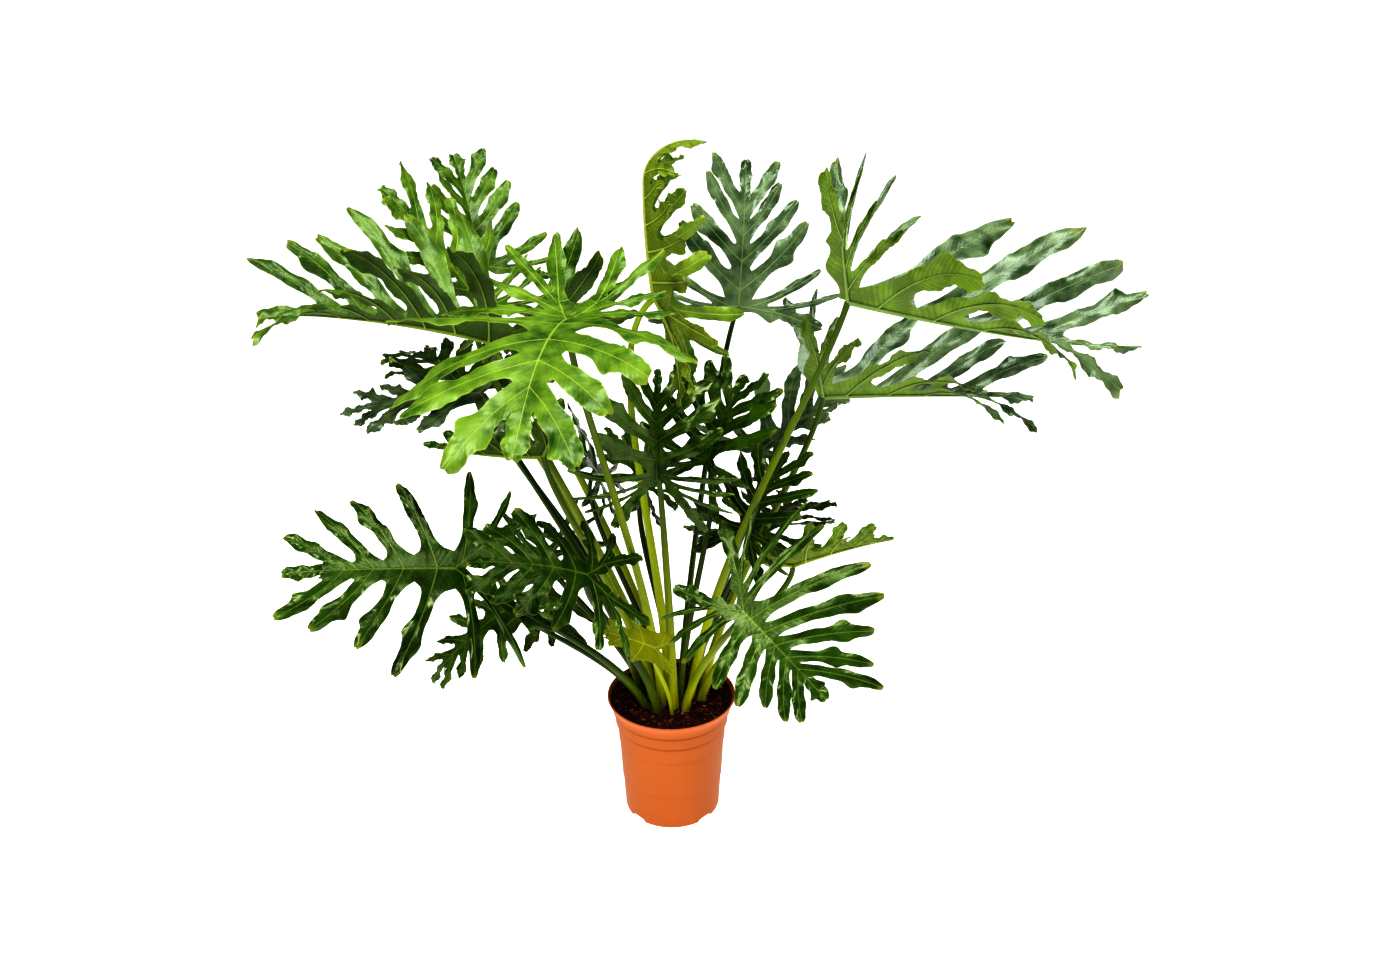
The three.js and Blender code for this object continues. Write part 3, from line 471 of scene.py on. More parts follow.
LEAVES = [
    leaf("01", (-14, -28), (-120, -225, 915), (-160, -455, 820), 1, tone="bright", back=3,
         wide=1.3, strap=1.2, tail=0.8, lop=-0.1, spread=155, sinus=0.11, bend=60, nape=-120,
         fold=5, arch=-20, roll=-2),
    leaf("02", (-32, 2), (-220, -80, 835), (-540, -130, 895), 2, tone="mid", front=6, back=1,
         wide=1.05, strap=0.85, first=40, sinus=0.06, bend=15, fold=60, arch=-10, open=0.5,
         twist=-30, roll=-5),
    leaf("03", (-52, 13), (-290, 70, 710), (-510, 75, 675), 3, tone="dusky_painted_sheen", stalk="dark",
         back=1, wide=0.75, strap=0.9, spread=115, fold=5, roll=20),
    leaf("04", (-30, -14), (-175, -105, 680), (-340, -115, 700), 22, back=1, wide=0.7,
         spread=110, bend=-15, fold=60),
    leaf("05", (-29, 20), (-280, 60, 855), (-405, 60, 1025), 4, tone="bright", back=3,
         lop=-0.1, spread=130, fold=20, roll=20),
    leaf("06", (-16, 34), (-290, 180, 880), (-335, 250, 1040), 5, tone="mid", strap=1.1,
         spread=110, bend=0, fold=30, open=0),
    leaf("07", (-4, -6), (-15, -40, 890), (-22, -54, 1150), 7, tone="young", stalk="pale",
         front=5, wide=0.6, strap=0.8, tail=1.3, spread=150, sinus=0.07, bend=-15, nape=40,
         knee=0.62, hook=-110, fold=60, roll=-10, up=(1, -0.5, 0)),
    leaf("08", (16, 26), (105, 80, 845), (115, 150, 1045), 8, tone="dusky_painted_sheen", stalk="dark",
         wide=1.05, spread=95, bend=20, roll=-15, base=6, neck=3.6),
    leaf("09", (32, -5), (250, -70, 895), (630, -140, 845), 9, tone="dusky_painted_sheen", back=3,
         strap=0.85, tail=0.75, lop=0.15, first=30, spread=108, sinus=0.04, bend=-8, fold=58,
         arch=-5, open=0.9, twist=58, roll=14),
    leaf("10", (52, 8), (240, 110, 690), (575, 130, 680), 10, tone="dusky_painted_sheen", strap=0.85,
         tail=0.7, lop=0.1, first=30, spread=102, sinus=0.06, bend=5, fold=55, arch=-10,
         open=0.7, twist=55, roll=10),
    leaf("11", (38, 22), (150, 160, 580), (300, 230, 665), 11, tone="dusky_painted_sheen", stalk="dark",
         wide=1.2, strap=1.3, lop=0.4, spread=120),
    leaf("12", (5, -36), (-15, -80, 645), (-15, -40, 785), 12, tone="dark", back=3, wide=1.4,
         strap=1.2, spread=130, bend=30, fold=35, arch=-45, twist=40),
    leaf("13", (5, 14), (-40, 80, 550), (-115, 110, 625), 13, tone="dark", stalk="dark",
         front=3, wide=1.2, strap=1.3, bend=30),
    leaf("14", (-33, 40), (-310, 170, 680), (-465, 330, 695), 23, tone="dark", stalk="dark",
         back=1, spread=105, bend=20),
    leaf("15", (-42, -36), (-295, -190, 545), (-515, -250, 570), 14, stalk="dark", wide=1.1,
         strap=0.85, fold=-5, roll=45, base=6, neck=3.6),
    leaf("16", (-54, -14), (-250, -50, 400), (-375, -80, 285), 15, tone="mid", stalk="dark",
         wide=0.7, strap=0.75, bend=30, fold=0, roll=25, base=5.5, neck=3.4),
    leaf("17", (-22, -50), (-110, -200, 540), (-265, -250, 585), 16, stalk="dark", wide=1.1,
         strap=1.3, bend=30, fold=0, roll=30),
    leaf("18", (-52, 34), (-220, 170, 365), (-210, 140, 215), 17, tone="dark", stalk="dark",
         front=3, wide=1.35, up=(-0.3, 1, 0.5)),
    leaf("19", (24, -44), (108, -210, 487), (220, -290, 395), 18, front=5, back=3, wide=1.45,
         strap=1.25, lop=0.25, spread=145, bend=15, nape=0, fold=-5, arch=-10, roll=-45),
    leaf("20", (50, -14), (190, -20, 460), (340, -40, 515), 19, tone="young", front=3,
         back=1, wide=0.7, fold=60),
    leaf("21", (2, -56), (-20, -150, 390), (-105, -165, 430), 20, tone="olive", stalk="pale",
         front=2, back=1, wide=0.8, tail=0.6, sinus=0.2, bend=20, roll=30, base=4, neck=3),
    leaf("22", (34, 42), (145, 160, 430), (240, 330, 405), 24, stalk="dark", bend=20),
    leaf("23", (14, -18), (60, -20, 640), (115, 20, 755), 25, tone="dark", stalk="dark",
         wide=1.5, strap=1.4, spread=130, bend=20, fold=30, arch=-30, roll=-15, base=6,
         neck=3.4),
    leaf("24", (-14, 8), (-115, 50, 590), (-190, 50, 695), 26, tone="dark", stalk="dark",
         wide=1.5, strap=1.4, spread=130, bend=20, base=6, neck=3.4),
    leaf("25", (24, 8), (120, -10, 520), (185, 45, 620), 27, stalk="dark", wide=1.4,
         strap=1.3, spread=130, bend=20, base=6, neck=3.4),
]
print("leaves:", len(LEAVES))

# %% [markdown]
# ## The flat plan of a blade
#
# Before it bends, a blade is a flat shape in which the junction is at (0, 0) and the
# tip at (1, 0), so every length in the plan is a share of the blade's. A midrib runs
# forward and two rear ribs run back, and lobes grow from both sides of each rib.
# Neighbouring lobes are joined near the rib and free further out. A mesh that follows
# this growth, with rows across each lobe and a column on its vein, takes ruffles and
# veins far better than an outline that is filled with faces, so the plan is laid out
# lobe by lobe. The numbers come from a few rules and from small repeatable draws.

# %% Lobes of one half
ACROSS = 4               # cells on each side of a vein
CELLS = 2 * ACROSS       # cells across a lobe
COLUMNS = np.linspace(1, -1, CELLS + 1)


def draw(seed, detail):
    """A repeatable number from 0 to 1 for one detail of one leaf."""
    return math.sin(seed * 12.9898 + detail * 78.233) * 43758.5453 % 1


def lerp(start, end, share):
    return start + (end - start) * share


def half_size(leaf, side):
    """How large one half of a blade is; side is +1 for the left half, -1 for the right."""
    return leaf.wide * (1 + side * leaf.lop)


def side_lobes(leaf, side):
    """The lobes of one half of a blade, from the tip backwards."""
    lobes = []
    for k in range(leaf.front + leaf.back):
        ahead = k < leaf.front
        m = k if ahead else k - leaf.front
        share = (m + 0.5) / (leaf.front if ahead else leaf.back)
        detail = 100 * (side + 2) + (m if ahead else 40 + m)
        if ahead:
            turn = lerp(leaf.first, 0.58 * leaf.spread, share ** 0.85)
            length = lerp(0.33, 0.6, share ** 0.75)
        else:
            turn = lerp(0.66, 0.98, share) * leaf.spread
            length = lerp(0.6, 0.44, share) * leaf.tail
        turn += 5 * (draw(leaf.seed, detail) - 0.5)
        length *= (0.9 + 0.2 * draw(leaf.seed, detail + 20)) * half_size(leaf, side)
        lobes.append(SimpleNamespace(detail=detail, side=side, angle=math.radians(turn),
                                     length=length, spur=1.6 if ahead else 1))
    return lobes


print("lobes of leaf 01:", 2 * len(side_lobes(LEAVES[0], 1)))

# %% [markdown]
# ## The outline and the ruffles of a lobe
#
# A lobe is a strap that swells a little and rounds off at its tip. Its margin waves,
# is finely crimped, and carries a spur here and there. The same margin also leaves the
# plane: it ruffles up and down, more so where the lobe is free, and it droops. On both
# counts the two margins of a lobe get draws of their own, or the lobe would look like
# a stamped part. In what follows s is the place along a lobe, 0 at its root and 1 at
# its tip, and w the place across it, 1 and -1 on its margins.

# %% The outline of a lobe
def both_edges(leaf, detail, w):
    """One draw for each edge of a lobe: w is positive on one and negative on the other."""
    return np.where(w > 0, draw(leaf.seed, detail + 1), draw(leaf.seed, detail))


def waves(count, s, phase):
    return np.sin(2 * math.pi * (count * s + phase))


def half_width(leaf, lobe, s, w):
    """Half of a lobe's width, with its waves and spurs."""
    body = 0.84 + 0.3 * np.sin(math.pi / 2 * np.minimum(1, s / 0.75)) ** 2
    tip = np.maximum(0, 1 - s ** 7) ** 0.55
    wave = 1 + 0.09 * waves(3.1, s, both_edges(leaf, 3 * lobe.detail, w))
    place = 0.5 + 0.26 * both_edges(leaf, 5 * lobe.detail, w)
    size = np.maximum(0, both_edges(leaf, 7 * lobe.detail, w) - 0.5) * lobe.spur
    spur = size * np.exp(-(((s - place) / 0.085) ** 2))
    crimp = 0.02 * waves(9.7, s, both_edges(leaf, 11 * lobe.detail, w))
    return lobe.half * leaf.strap * body * tip * (wave + spur + crimp), spur


def beside(direction, side):
    """The direction square to another one, on the side of the blade's tip."""
    return np.stack([direction[..., 1], -direction[..., 0]], -1) * side


def axis_of(lobe, s):
    """Points on a lobe's vein and the directions along and across it."""
    s = np.asarray(s, float)[..., None]
    centre = lobe.origin + lobe.dir * lobe.length * s + lobe.normal * lobe.sweep * s * s
    along = lobe.dir * lobe.length + lobe.normal * 2 * lobe.sweep * s
    along = along / np.linalg.norm(along, axis=-1, keepdims=True)
    return centre, along, beside(along, lobe.side)


def lobe_points(leaf, lobe, s):
    """Plan points of the free part of a lobe: a row for each s, a point for each column."""
    s = np.asarray(s, float)[:, None]
    w = COLUMNS[None, :]
    centre, along, across = axis_of(lobe, s[:, 0])
    half, spur = half_width(leaf, lobe, s, w)
    t = np.clip((s - lobe.start) / 0.2, 0, 1)
    keep = 1 - np.sqrt(1 - (1 - t) ** 2)
    lead = (0.012 + 0.03 * spur) * np.abs(w) ** 1.5
    forward = lerp(lead, lobe.start_along, keep)
    sideways = lerp(w * half, lobe.start_across, keep)
    return (centre[:, None] + along[:, None] * forward[..., None]
            + across[:, None] * sideways[..., None])


print("columns of a lobe:", len(COLUMNS))

# %% The ruffles of a lobe
RUFFLE = 0.013           # height of the waves of a margin
CRIMP = 0.004            # height of the small waves on them
DROOP = 0.02             # how far a margin hangs
RISE = 0.32              # spread of the lobes' rise or fall at the tip
TWIST = 0.9              # spread of their twist
KEEL = 0.3               # how much each lobe is a trough of its own


def lobe_lift(leaf, lobe, s, w, free):
    """Height off the plan: ruffled edges that droop, and a lobe that rises or sinks."""
    loose = np.clip((s - 0.2) / 0.35, 0, 1)
    count = 2 + 1.2 * draw(leaf.seed, lobe.detail + 41)
    phase = both_edges(leaf, 3 * lobe.detail + 17, w)
    edge = np.abs(w)
    wave = RUFFLE * edge ** 1.6 * waves(count, s, phase) * (0.35 + 0.65 * loose)
    crimp = CRIMP * edge ** 3 * waves(3.6 * count, s, 3 * phase) * loose
    rise = RISE * (draw(leaf.seed, lobe.detail + 57) - 0.5) * lobe.length * s * s
    twist = TWIST * (draw(leaf.seed, lobe.detail + 63) - 0.5) * w * lobe.half * s
    keel = KEEL * edge * lobe.half
    rim = wave + crimp + twist + keel - DROOP * w * w * loose
    return rim * free + rise * (1 - edge ** 3 * (1 - free))


print("ruffles up to", RUFFLE + CRIMP, "of a blade's length")

# %% [markdown]
# ## Points, faces and rows
#
# The plan is a list of points and a list of faces between neighbouring rows of them.
# Each point remembers what the later steps need: how far it rises off the plan, how
# strong the rib is there, how near it is to the margin, whether it is on a vein, and
# how near it is to the end of its lobe. Each corner of a face gets a UV, because the
# veins of the finish follow it: metres across from the vein, and metres along the lobe.

# %% Plan
class Plan:
    """Points and faces of a flat blade. The lists of points and values go together."""

    def __init__(self, leaf):
        self.leaf = leaf
        self.length = math.dist(leaf.at, leaf.tip) * MM
        self.points, self.values, self.faces, self.uvs = [], [], [], []

    def add(self, point, lift=0, rib=0, margin=0, vein=0, end=0):
        self.points.append(np.asarray(point, float))
        self.values.append(dict(lift=lift, rib=rib, margin=margin, vein=vein, end=end))
        return len(self.points) - 1

    def line(self, root, direction, depth, rib):
        """Points from a rib out to a sinus, which is on the margin."""
        start = self.points[root]
        return [root] + [
            self.add(start + direction * depth * r / ACROSS, 0, rib, r == ACROSS)
            for r in range(1, ACROSS + 1)]

    def uv_row(self, row, along):
        middle = self.points[row[len(row) // 2]]
        span = [np.linalg.norm(self.points[k] - middle) for k in row]
        signed = [math.copysign(d, w) for d, w in zip(span, COLUMNS)]
        return [(across * self.length, along * self.length) for across in signed]

    def stitch(self, rows, uvs, turned):
        """Faces between neighbouring rows; cells that close to a point lose a corner."""
        for a, b, uv_a, uv_b in zip(rows, rows[1:], uvs, uvs[1:]):
            for j in range(len(a) - 1):
                cell = [(a[j], uv_a[j]), (a[j + 1], uv_a[j + 1]),
                        (b[j + 1], uv_b[j + 1]), (b[j], uv_b[j])]
                if b[j] == b[j + 1]:
                    cell.pop()
                if turned:
                    cell.reverse()
                self.faces.append([index for index, uv in cell])
                self.uvs.extend(uv for index, uv in cell)


print("blade 01 is", round(Plan(LEAVES[0]).length, 3), "m long")

# %% [markdown]
# ## Growing a lobe
#
# A side lobe starts from the points of a rib, between two lines that run out to the
# sinuses on either side of it. Rows fill the joined part between those lines first.
# From the sinuses on, the lobe is free and its rows follow its outline, closer together
# towards the tip, where they end in one point. A lobe at the end of a rib has no joined
# part, because it grows straight on from a row that is already there.

# %% Side lobes and end lobes
ROWS = 34                # rows of cells in the free part of a lobe
TIP_RIB = 0.1            # strength of a vein at the tip of its lobe


def heading(angle, side):
    """A direction in the plan, by its angle from the midrib on that side."""
    return np.array([math.cos(angle), side * math.sin(angle)])


def grow(plan, lobe, rows, places, root_rib):
    """Add a lobe's free part to the rows that are there, and stitch all of them."""
    share = np.arange(1, ROWS + 1) / ROWS
    s = lerp(lobe.first, 1, 1 - (1 - share) ** 1.25)
    grid = lobe_points(plan.leaf, lobe, s)
    free = np.clip((s - lobe.first) / 0.1, 0, 1)
    lifts = lobe_lift(plan.leaf, lobe, s[:, None], COLUMNS[None, :], free[:, None])
    for i in range(ROWS - 1):
        rib = lerp(root_rib, TIP_RIB, s[i])
        rows.append([plan.add(grid[i, j], lifts[i, j], rib, abs(w), j == ACROSS, s[i])
                     for j, w in enumerate(COLUMNS)])
    tip = plan.add(axis_of(lobe, 1.0)[0], lifts[-1, ACROSS], TIP_RIB, 1, 1, 1)
    rows.append([tip] * len(COLUMNS))
    places.extend(s * lobe.length)
    uvs = [plan.uv_row(row, place) for row, place in zip(rows, places)]
    plan.stitch(rows, uvs, lobe.side > 0)


def end_lobe(plan, base, root, angle, length, detail, side, root_rib):
    """A lobe at the end of a rib, grown from the row of points already there."""
    lobe = SimpleNamespace(detail=detail, side=side, dir=heading(angle, side), length=length,
                           origin=plan.points[root], sweep=0.0, spur=1.2, first=0.1, start=0.0)
    lobe.normal = beside(lobe.dir, side)
    offsets = np.array([plan.points[k] for k in base]) - lobe.origin
    lobe.half = min(0.046, 0.5 * abs((offsets[0] - offsets[-1]) @ lobe.normal))
    lobe.start_along, lobe.start_across = offsets @ lobe.dir, offsets @ lobe.normal
    grow(plan, lobe, [base], [0], root_rib)


def side_lobe(plan, lobe, feet, line_a, line_b, root_rib):
    """A lobe between two lines of points that run from the rib to the sinuses."""
    points = plan.points
    lobe.dir = heading(lobe.angle, lobe.side)
    lobe.normal = beside(lobe.dir, lobe.side)
    lobe.origin = (points[feet[0]] + points[feet[-1]]) / 2
    sinus_a, sinus_b = points[line_a[-1]], points[line_b[-1]]
    lobe.half = min(0.05, 0.33 * abs((sinus_a - sinus_b) @ lobe.normal))
    lobe.sweep = 0.16 * lobe.length * (0.6 + 0.8 * draw(plan.leaf.seed, lobe.detail + 31))
    reach = ((sinus_a + sinus_b) / 2 - lobe.origin) @ lobe.dir
    lobe.first = lobe.start = max(0.12, reach / lobe.length)
    centre, along, across = axis_of(lobe, lobe.first)
    sinus = np.where(COLUMNS[:, None] >= 0, sinus_a, sinus_b) - centre
    lobe.start_along = (sinus @ along) * COLUMNS ** 2
    lobe.start_across = (sinus @ across) * np.abs(COLUMNS)
    joined = centre + np.outer(lobe.start_along, along) + np.outer(lobe.start_across, across)
    rows, places = [feet], [0]
    for r in range(1, ACROSS + 1):
        share = r / ACROSS
        s = lobe.first * share
        lifts = lobe_lift(plan.leaf, lobe, s, COLUMNS, 0)
        inner = [plan.add(lerp(points[feet[j]], joined[j], share), lifts[j],
                          lerp(root_rib, TIP_RIB, s), 0, j == ACROSS)
                 for j in range(1, CELLS)]
        rows.append([line_a[r], *inner, line_b[r]])
        places.append(s * lobe.length)
    grow(plan, lobe, rows, places, root_rib)


print("rows of a side lobe:", ACROSS + ROWS)

# %% [markdown]
# ## Laying out the plan
#
# First come the points of the ribs. Lines then run from the ribs to the sinuses, and a
# lobe fills the room between each pair of them. A strip of green edges the inner side
# of each rear rib. Last, a lobe at the end of every rib closes the outline.

# %% The whole plan
APEX = 0.73              # where the end lobe leaves the midrib
REAR_RIB = 0.24          # length of a rear rib
NOTCH_WEB = 0.022        # green left behind the junction
WEB_RIB = 0.5            # strength of a rear rib at its end
MIDRIB_FADE = 0.8        # what the midrib loses from the junction to the tip


def sinus_lines(plan, lobes, axis, side):
    """The lines that part the lobes of one half, each from a rib to a sinus."""
    leaf, count = plan.leaf, len(lobes)
    lines = []
    for i in range(count + 1):
        angle = lobes[min(i, count - 1)].angle
        depth = leaf.sinus * (0.85 + 0.3 * draw(leaf.seed, 300 + 50 * side + i))
        if i == 0:
            angle *= 0.7
            depth *= 1.1
        elif i == count:
            angle += math.radians(14)
            depth *= 1.15
        else:
            angle = (lobes[i - 1].angle + angle) / 2
            share = i / leaf.front
            depth *= lerp(0.75, 1.2, share) if share < 1 else 1.55 if share == 1 else 1.15
        root = axis[CELLS * i]
        rib = 0.45 * plan.values[root]["rib"]
        lines.append(plan.line(root, heading(angle, side), depth, rib))
    return lines


def rear_web(plan, ribs, notch, spread, side):
    """The strip of green on the inner side of a rear rib; returns its last row."""
    inward = -beside(heading(spread, side), side)
    rows, uvs = [notch], []
    for j, rib in enumerate(ribs[1:], 1):
        share = j / (len(ribs) - 1)
        width = 0.03 + 0.04 * share
        width *= 1 + 0.3 * math.sin(math.pi * plan.leaf.back * share + plan.leaf.seed)
        rows.append(plan.line(rib, inward, width, 0.45))
    for j, row in enumerate(rows):
        far = 0.05 + REAR_RIB * j / (len(ribs) - 1)
        uvs.append([(far * plan.length, 0.012 * plan.length * k) for k in range(len(row))])
    plan.stitch(rows, uvs, side > 0)
    return rows[-1]


def half_plan(plan, midrib, notch, side):
    """One half of a blade with all its lobes; returns the line next to the end lobe."""
    leaf = plan.leaf
    spread = math.radians(leaf.spread)
    steps = leaf.back * CELLS
    rear = [plan.add(heading(spread, side) * REAR_RIB * j / steps, 0,
                     lerp(0.9, WEB_RIB, j / steps), 0, 1) for j in range(1, steps + 1)]
    axis = midrib + rear
    lobes = side_lobes(leaf, side)
    lines = sinus_lines(plan, lobes, axis, side)
    for i, lobe in enumerate(lobes):
        feet = axis[i * CELLS:(i + 1) * CELLS + 1]
        side_lobe(plan, lobe, feet, lines[i], lines[i + 1], 0.55 * plan.values[feet[ACROSS]]["rib"])
    web = rear_web(plan, [midrib[-1], *rear], notch, spread, side)
    turn = spread + math.radians(10 + 8 * (draw(leaf.seed, 900 + side) - 0.5))
    length = (0.34 + 0.08 * draw(leaf.seed, 910 + side)) * half_size(leaf, side) * leaf.tail
    end_lobe(plan, lines[-1][::-1] + web[1:], rear[-1], turn, length, 950 + side, side, WEB_RIB)
    return lines[0]


def lay_out(leaf):
    """The plan of a blade."""
    plan = Plan(leaf)
    breaks = [APEX * (1 - k / leaf.front) ** 0.88 for k in range(leaf.front + 1)]
    midrib = []
    for near, far in zip(breaks, breaks[1:]):
        for j in range(CELLS):
            x = lerp(near, far, j / CELLS)
            midrib.append(plan.add((x, 0), 0, 1 - MIDRIB_FADE * x, 0, 1))
    midrib.append(plan.add((0, 0), 0, 1, 0, 1))
    notch = plan.line(midrib[-1], np.array([-1.0, 0.0]), NOTCH_WEB, 0.5)
    left, right = (half_plan(plan, midrib, notch, side) for side in (1, -1))
    base = left[::-1] + right[1:]
    end_lobe(plan, base, midrib[0], 0, 1 - APEX, 999, -1, 1 - MIDRIB_FADE * APEX)
    return plan


print("faces in the plan of leaf 01:", len(lay_out(LEAVES[0]).faces))

# %% [markdown]
# ## Shapes made by Geometry Nodes
#
# A shape that follows a rule is a group of Geometry Nodes with named inputs for its
# sizes. The kind of an input follows from its default: a number, a whole number for a
# seed, or nothing for a material. Every group ends in the same two nodes, Realize
# Instances and Set Material. To use it, a modifier's inputs are set by the identifiers
# of their sockets, and the evaluated result is kept as a plain mesh.

# %% Recipes
class Recipe(Tree):
    """A Geometry Nodes group that turns the mesh of an object into a shape."""

    KINDS = {float: "NodeSocketFloat", int: "NodeSocketInt", type(None): "NodeSocketMaterial"}

    def __init__(self, name, **inputs):
        self.group = bpy.data.node_groups.new(name, "GeometryNodeTree")
        super().__init__(self.group)
        ends = self.group.interface
        ends.new_socket("Geometry", in_out="INPUT", socket_type="NodeSocketGeometry")
        for label, default in inputs.items():
            end = ends.new_socket(label, in_out="INPUT", socket_type=self.KINDS[type(default)])
            if default is not None:
                end.default_value = default
        ends.new_socket("Geometry", in_out="OUTPUT", socket_type="NodeSocketGeometry")
        self.start = self.node("NodeGroupInput")

    def given(self, name):
        """One of the group's inputs."""
        return self.start.other(name)

    def attribute(self, name):
        return self.node("GeometryNodeInputNamedAttribute", values={"Name": name})

    def stored(self, geometry, domain, name, value, where=True):
        values = {"Geometry": geometry, "Selection": where, "Name": name, "Value": value}
        return self.node("GeometryNodeStoreNamedAttribute", {"domain": domain}, values)

    def moved(self, geometry, **where):
        values = {"Geometry": geometry, **{key.capitalize(): value for key, value in where.items()}}
        return self.node("GeometryNodeSetPosition", values=values)

    def raised(self, geometry, height):
        """The geometry moved along its own normals."""
        normal = self.node("GeometryNodeInputNormal")
        return self.moved(geometry, offset=self.vector("SCALE", normal, Scale=height))

    def joined(self, *pieces):
        return self.node("GeometryNodeJoinGeometry", values={0: list(pieces)})

    def circle(self, sides):
        return self.node("GeometryNodeCurvePrimitiveCircle", values={"Resolution": sides, "Radius": 1})

    def swept(self, path, ring, radius):
        values = {"Curve": path, "Profile Curve": ring, "Scale": radius, "Fill Caps": True}
        return self.node("GeometryNodeCurveToMesh", values=values)

    def creased(self, geometry, degrees):
        """Edges that turn by more than that angle stay sharp."""
        angle = self.node("GeometryNodeInputMeshEdgeAngle")
        values = {"Geometry": geometry, "Shade Smooth": False,
                  "Selection": angle.math("GREATER_THAN", math.radians(degrees))}
        return self.node("GeometryNodeSetShadeSmooth", {"domain": "EDGE"}, values)

    def end(self, geometry):
        """Realize the instances, set the material and hand the result out."""
        real = self.node("GeometryNodeRealizeInstances", values={"Geometry": geometry})
        values = {"Geometry": real, "Material": self.given("finish")}
        dressed = self.node("GeometryNodeSetMaterial", values=values)
        self.node("NodeGroupOutput", values={0: dressed})


def shape(thing, recipe, **inputs):
    """Run a recipe on an object and keep the result as its mesh."""
    modifier = thing.modifiers.new(recipe.group.name, "NODES")
    modifier.node_group = recipe.group
    for item in recipe.group.interface.items_tree:
        if item.in_out == "INPUT" and item.name in inputs:
            modifier[item.identifier] = inputs[item.name]
    apply_modifiers(thing)


print("kinds of input:", [kind.__name__ for kind in Recipe.KINDS])

# %% [markdown]
# ## From the flat plan to a blade
#
# What happens to the plan is the same for every leaf, so it is one recipe with the
# leaf's angles as inputs. It lifts the ruffles, folds the two halves into a V, and
# rolls the blade along its length. Then it gives the sheet its thickness: the faces are
# extruded downwards and turned over, and joined to the first ones. Last, the edges
# that lie on veins become curves, and the curves become ribs that stand out under the
# blade and thin out towards the tips.

# %% Bending a blade
def bent_position(tree):
    """Where a plan point goes when the blade is folded, arched and bent."""
    position = tree.node("GeometryNodeInputPosition")
    x, y = tree.part(position, "X"), tree.part(position, "Y")
    lift = tree.attribute("lift")
    side = y.math("SIGN")
    out = abs(y)
    ahead = x.math("GREATER_THAN", 0)
    far = x * x * ahead
    fold = tree.given("fold") * (1 - tree.given("open") * far)
    arch = tree.given("arch")
    tilt = (fold + arch * out) * abs(side)
    lean = fold + arch * out * 0.5
    across = side * (out * lean.math("COSINE") - lift * tilt.math("SINE"))
    height = out * lean.math("SINE") + lift * tilt.math("COSINE")
    wring = tree.given("twist") * far
    level = across * wring.math("COSINE") - height * wring.math("SINE")
    height = across * wring.math("SINE") + height * wring.math("COSINE")
    near = x.math("MINIMUM", tree.given("knee"))
    rest = x - near
    turn = near * (tree.given("bend") * ahead + tree.given("nape") * (1 - ahead))
    hook = tree.given("hook") * rest / (1 - tree.given("knee"))
    end, chord = turn + hook, turn + hook * 0.5
    forward = near * (turn * 0.5).math("COSINE") + rest * chord.math("COSINE")
    fallen = near * (turn * 0.5).math("SINE") + rest * chord.math("SINE")
    forward = forward + height * end.math("SINE")
    up = height * end.math("COSINE") - fallen
    return tree.vector("SCALE", tree.combined(forward, level, up), Scale=tree.given("length"))


print("leaves that hook over:", sum(leaf.hook != 0 for leaf in LEAVES))

# %% The blade recipe
RIB_SIDES = 8
BLADE_CREASE = 50        # degrees


def blade_recipe():
    tree = Recipe("blade", length=0.3, fold=0.0, open=0.0, arch=0.0, twist=0.0, bend=0.0, nape=0.0,
                  knee=2.0, hook=0.0, thickness=0.0007, rib_radius=0.003, finish=None)
    thick = tree.given("thickness")
    bent = tree.moved(tree.start, position=bent_position(tree))

    # The sheet, from its upper face down.
    top = tree.raised(bent, thick * 0.5)
    down = tree.vector("SCALE", tree.node("GeometryNodeInputNormal"), Scale=thick * -1)
    values = {"Mesh": top, "Offset": down, "Offset Scale": 1, "Individual": False}
    shell = tree.node("GeometryNodeExtrudeMesh", {"mode": "FACES"}, values)
    below = tree.stored(shell, "CORNER", "under", 1, shell.other("Top"))
    below = tree.node("GeometryNodeFlipFaces", values={"Mesh": below})
    values = {"Geometry": tree.joined(top, below), "Distance": 1e-6}
    sheet = tree.creased(tree.node("GeometryNodeMergeByDistance", values=values), BLADE_CREASE)

    # The ribs, which hang just under the sheet.
    radius = tree.attribute("rib") * tree.given("rib_radius")
    sunk = tree.raised(bent, -1 * (thick * 0.5 + radius * 0.8))
    values = {"Mesh": sunk, "Selection": tree.attribute("vein").math("GREATER_THAN", 0.5)}
    veins = tree.node("GeometryNodeMeshToCurve", values=values)
    ribs = tree.swept(veins, tree.circle(RIB_SIDES), radius)
    ribs = tree.stored(tree.stored(ribs, "CORNER", "under", 1), "CORNER", "stem", 1)
    tree.end(tree.joined(sheet, ribs))
    return tree


BLADE = blade_recipe()
print("nodes in the blade recipe:", len(BLADE.nodes))
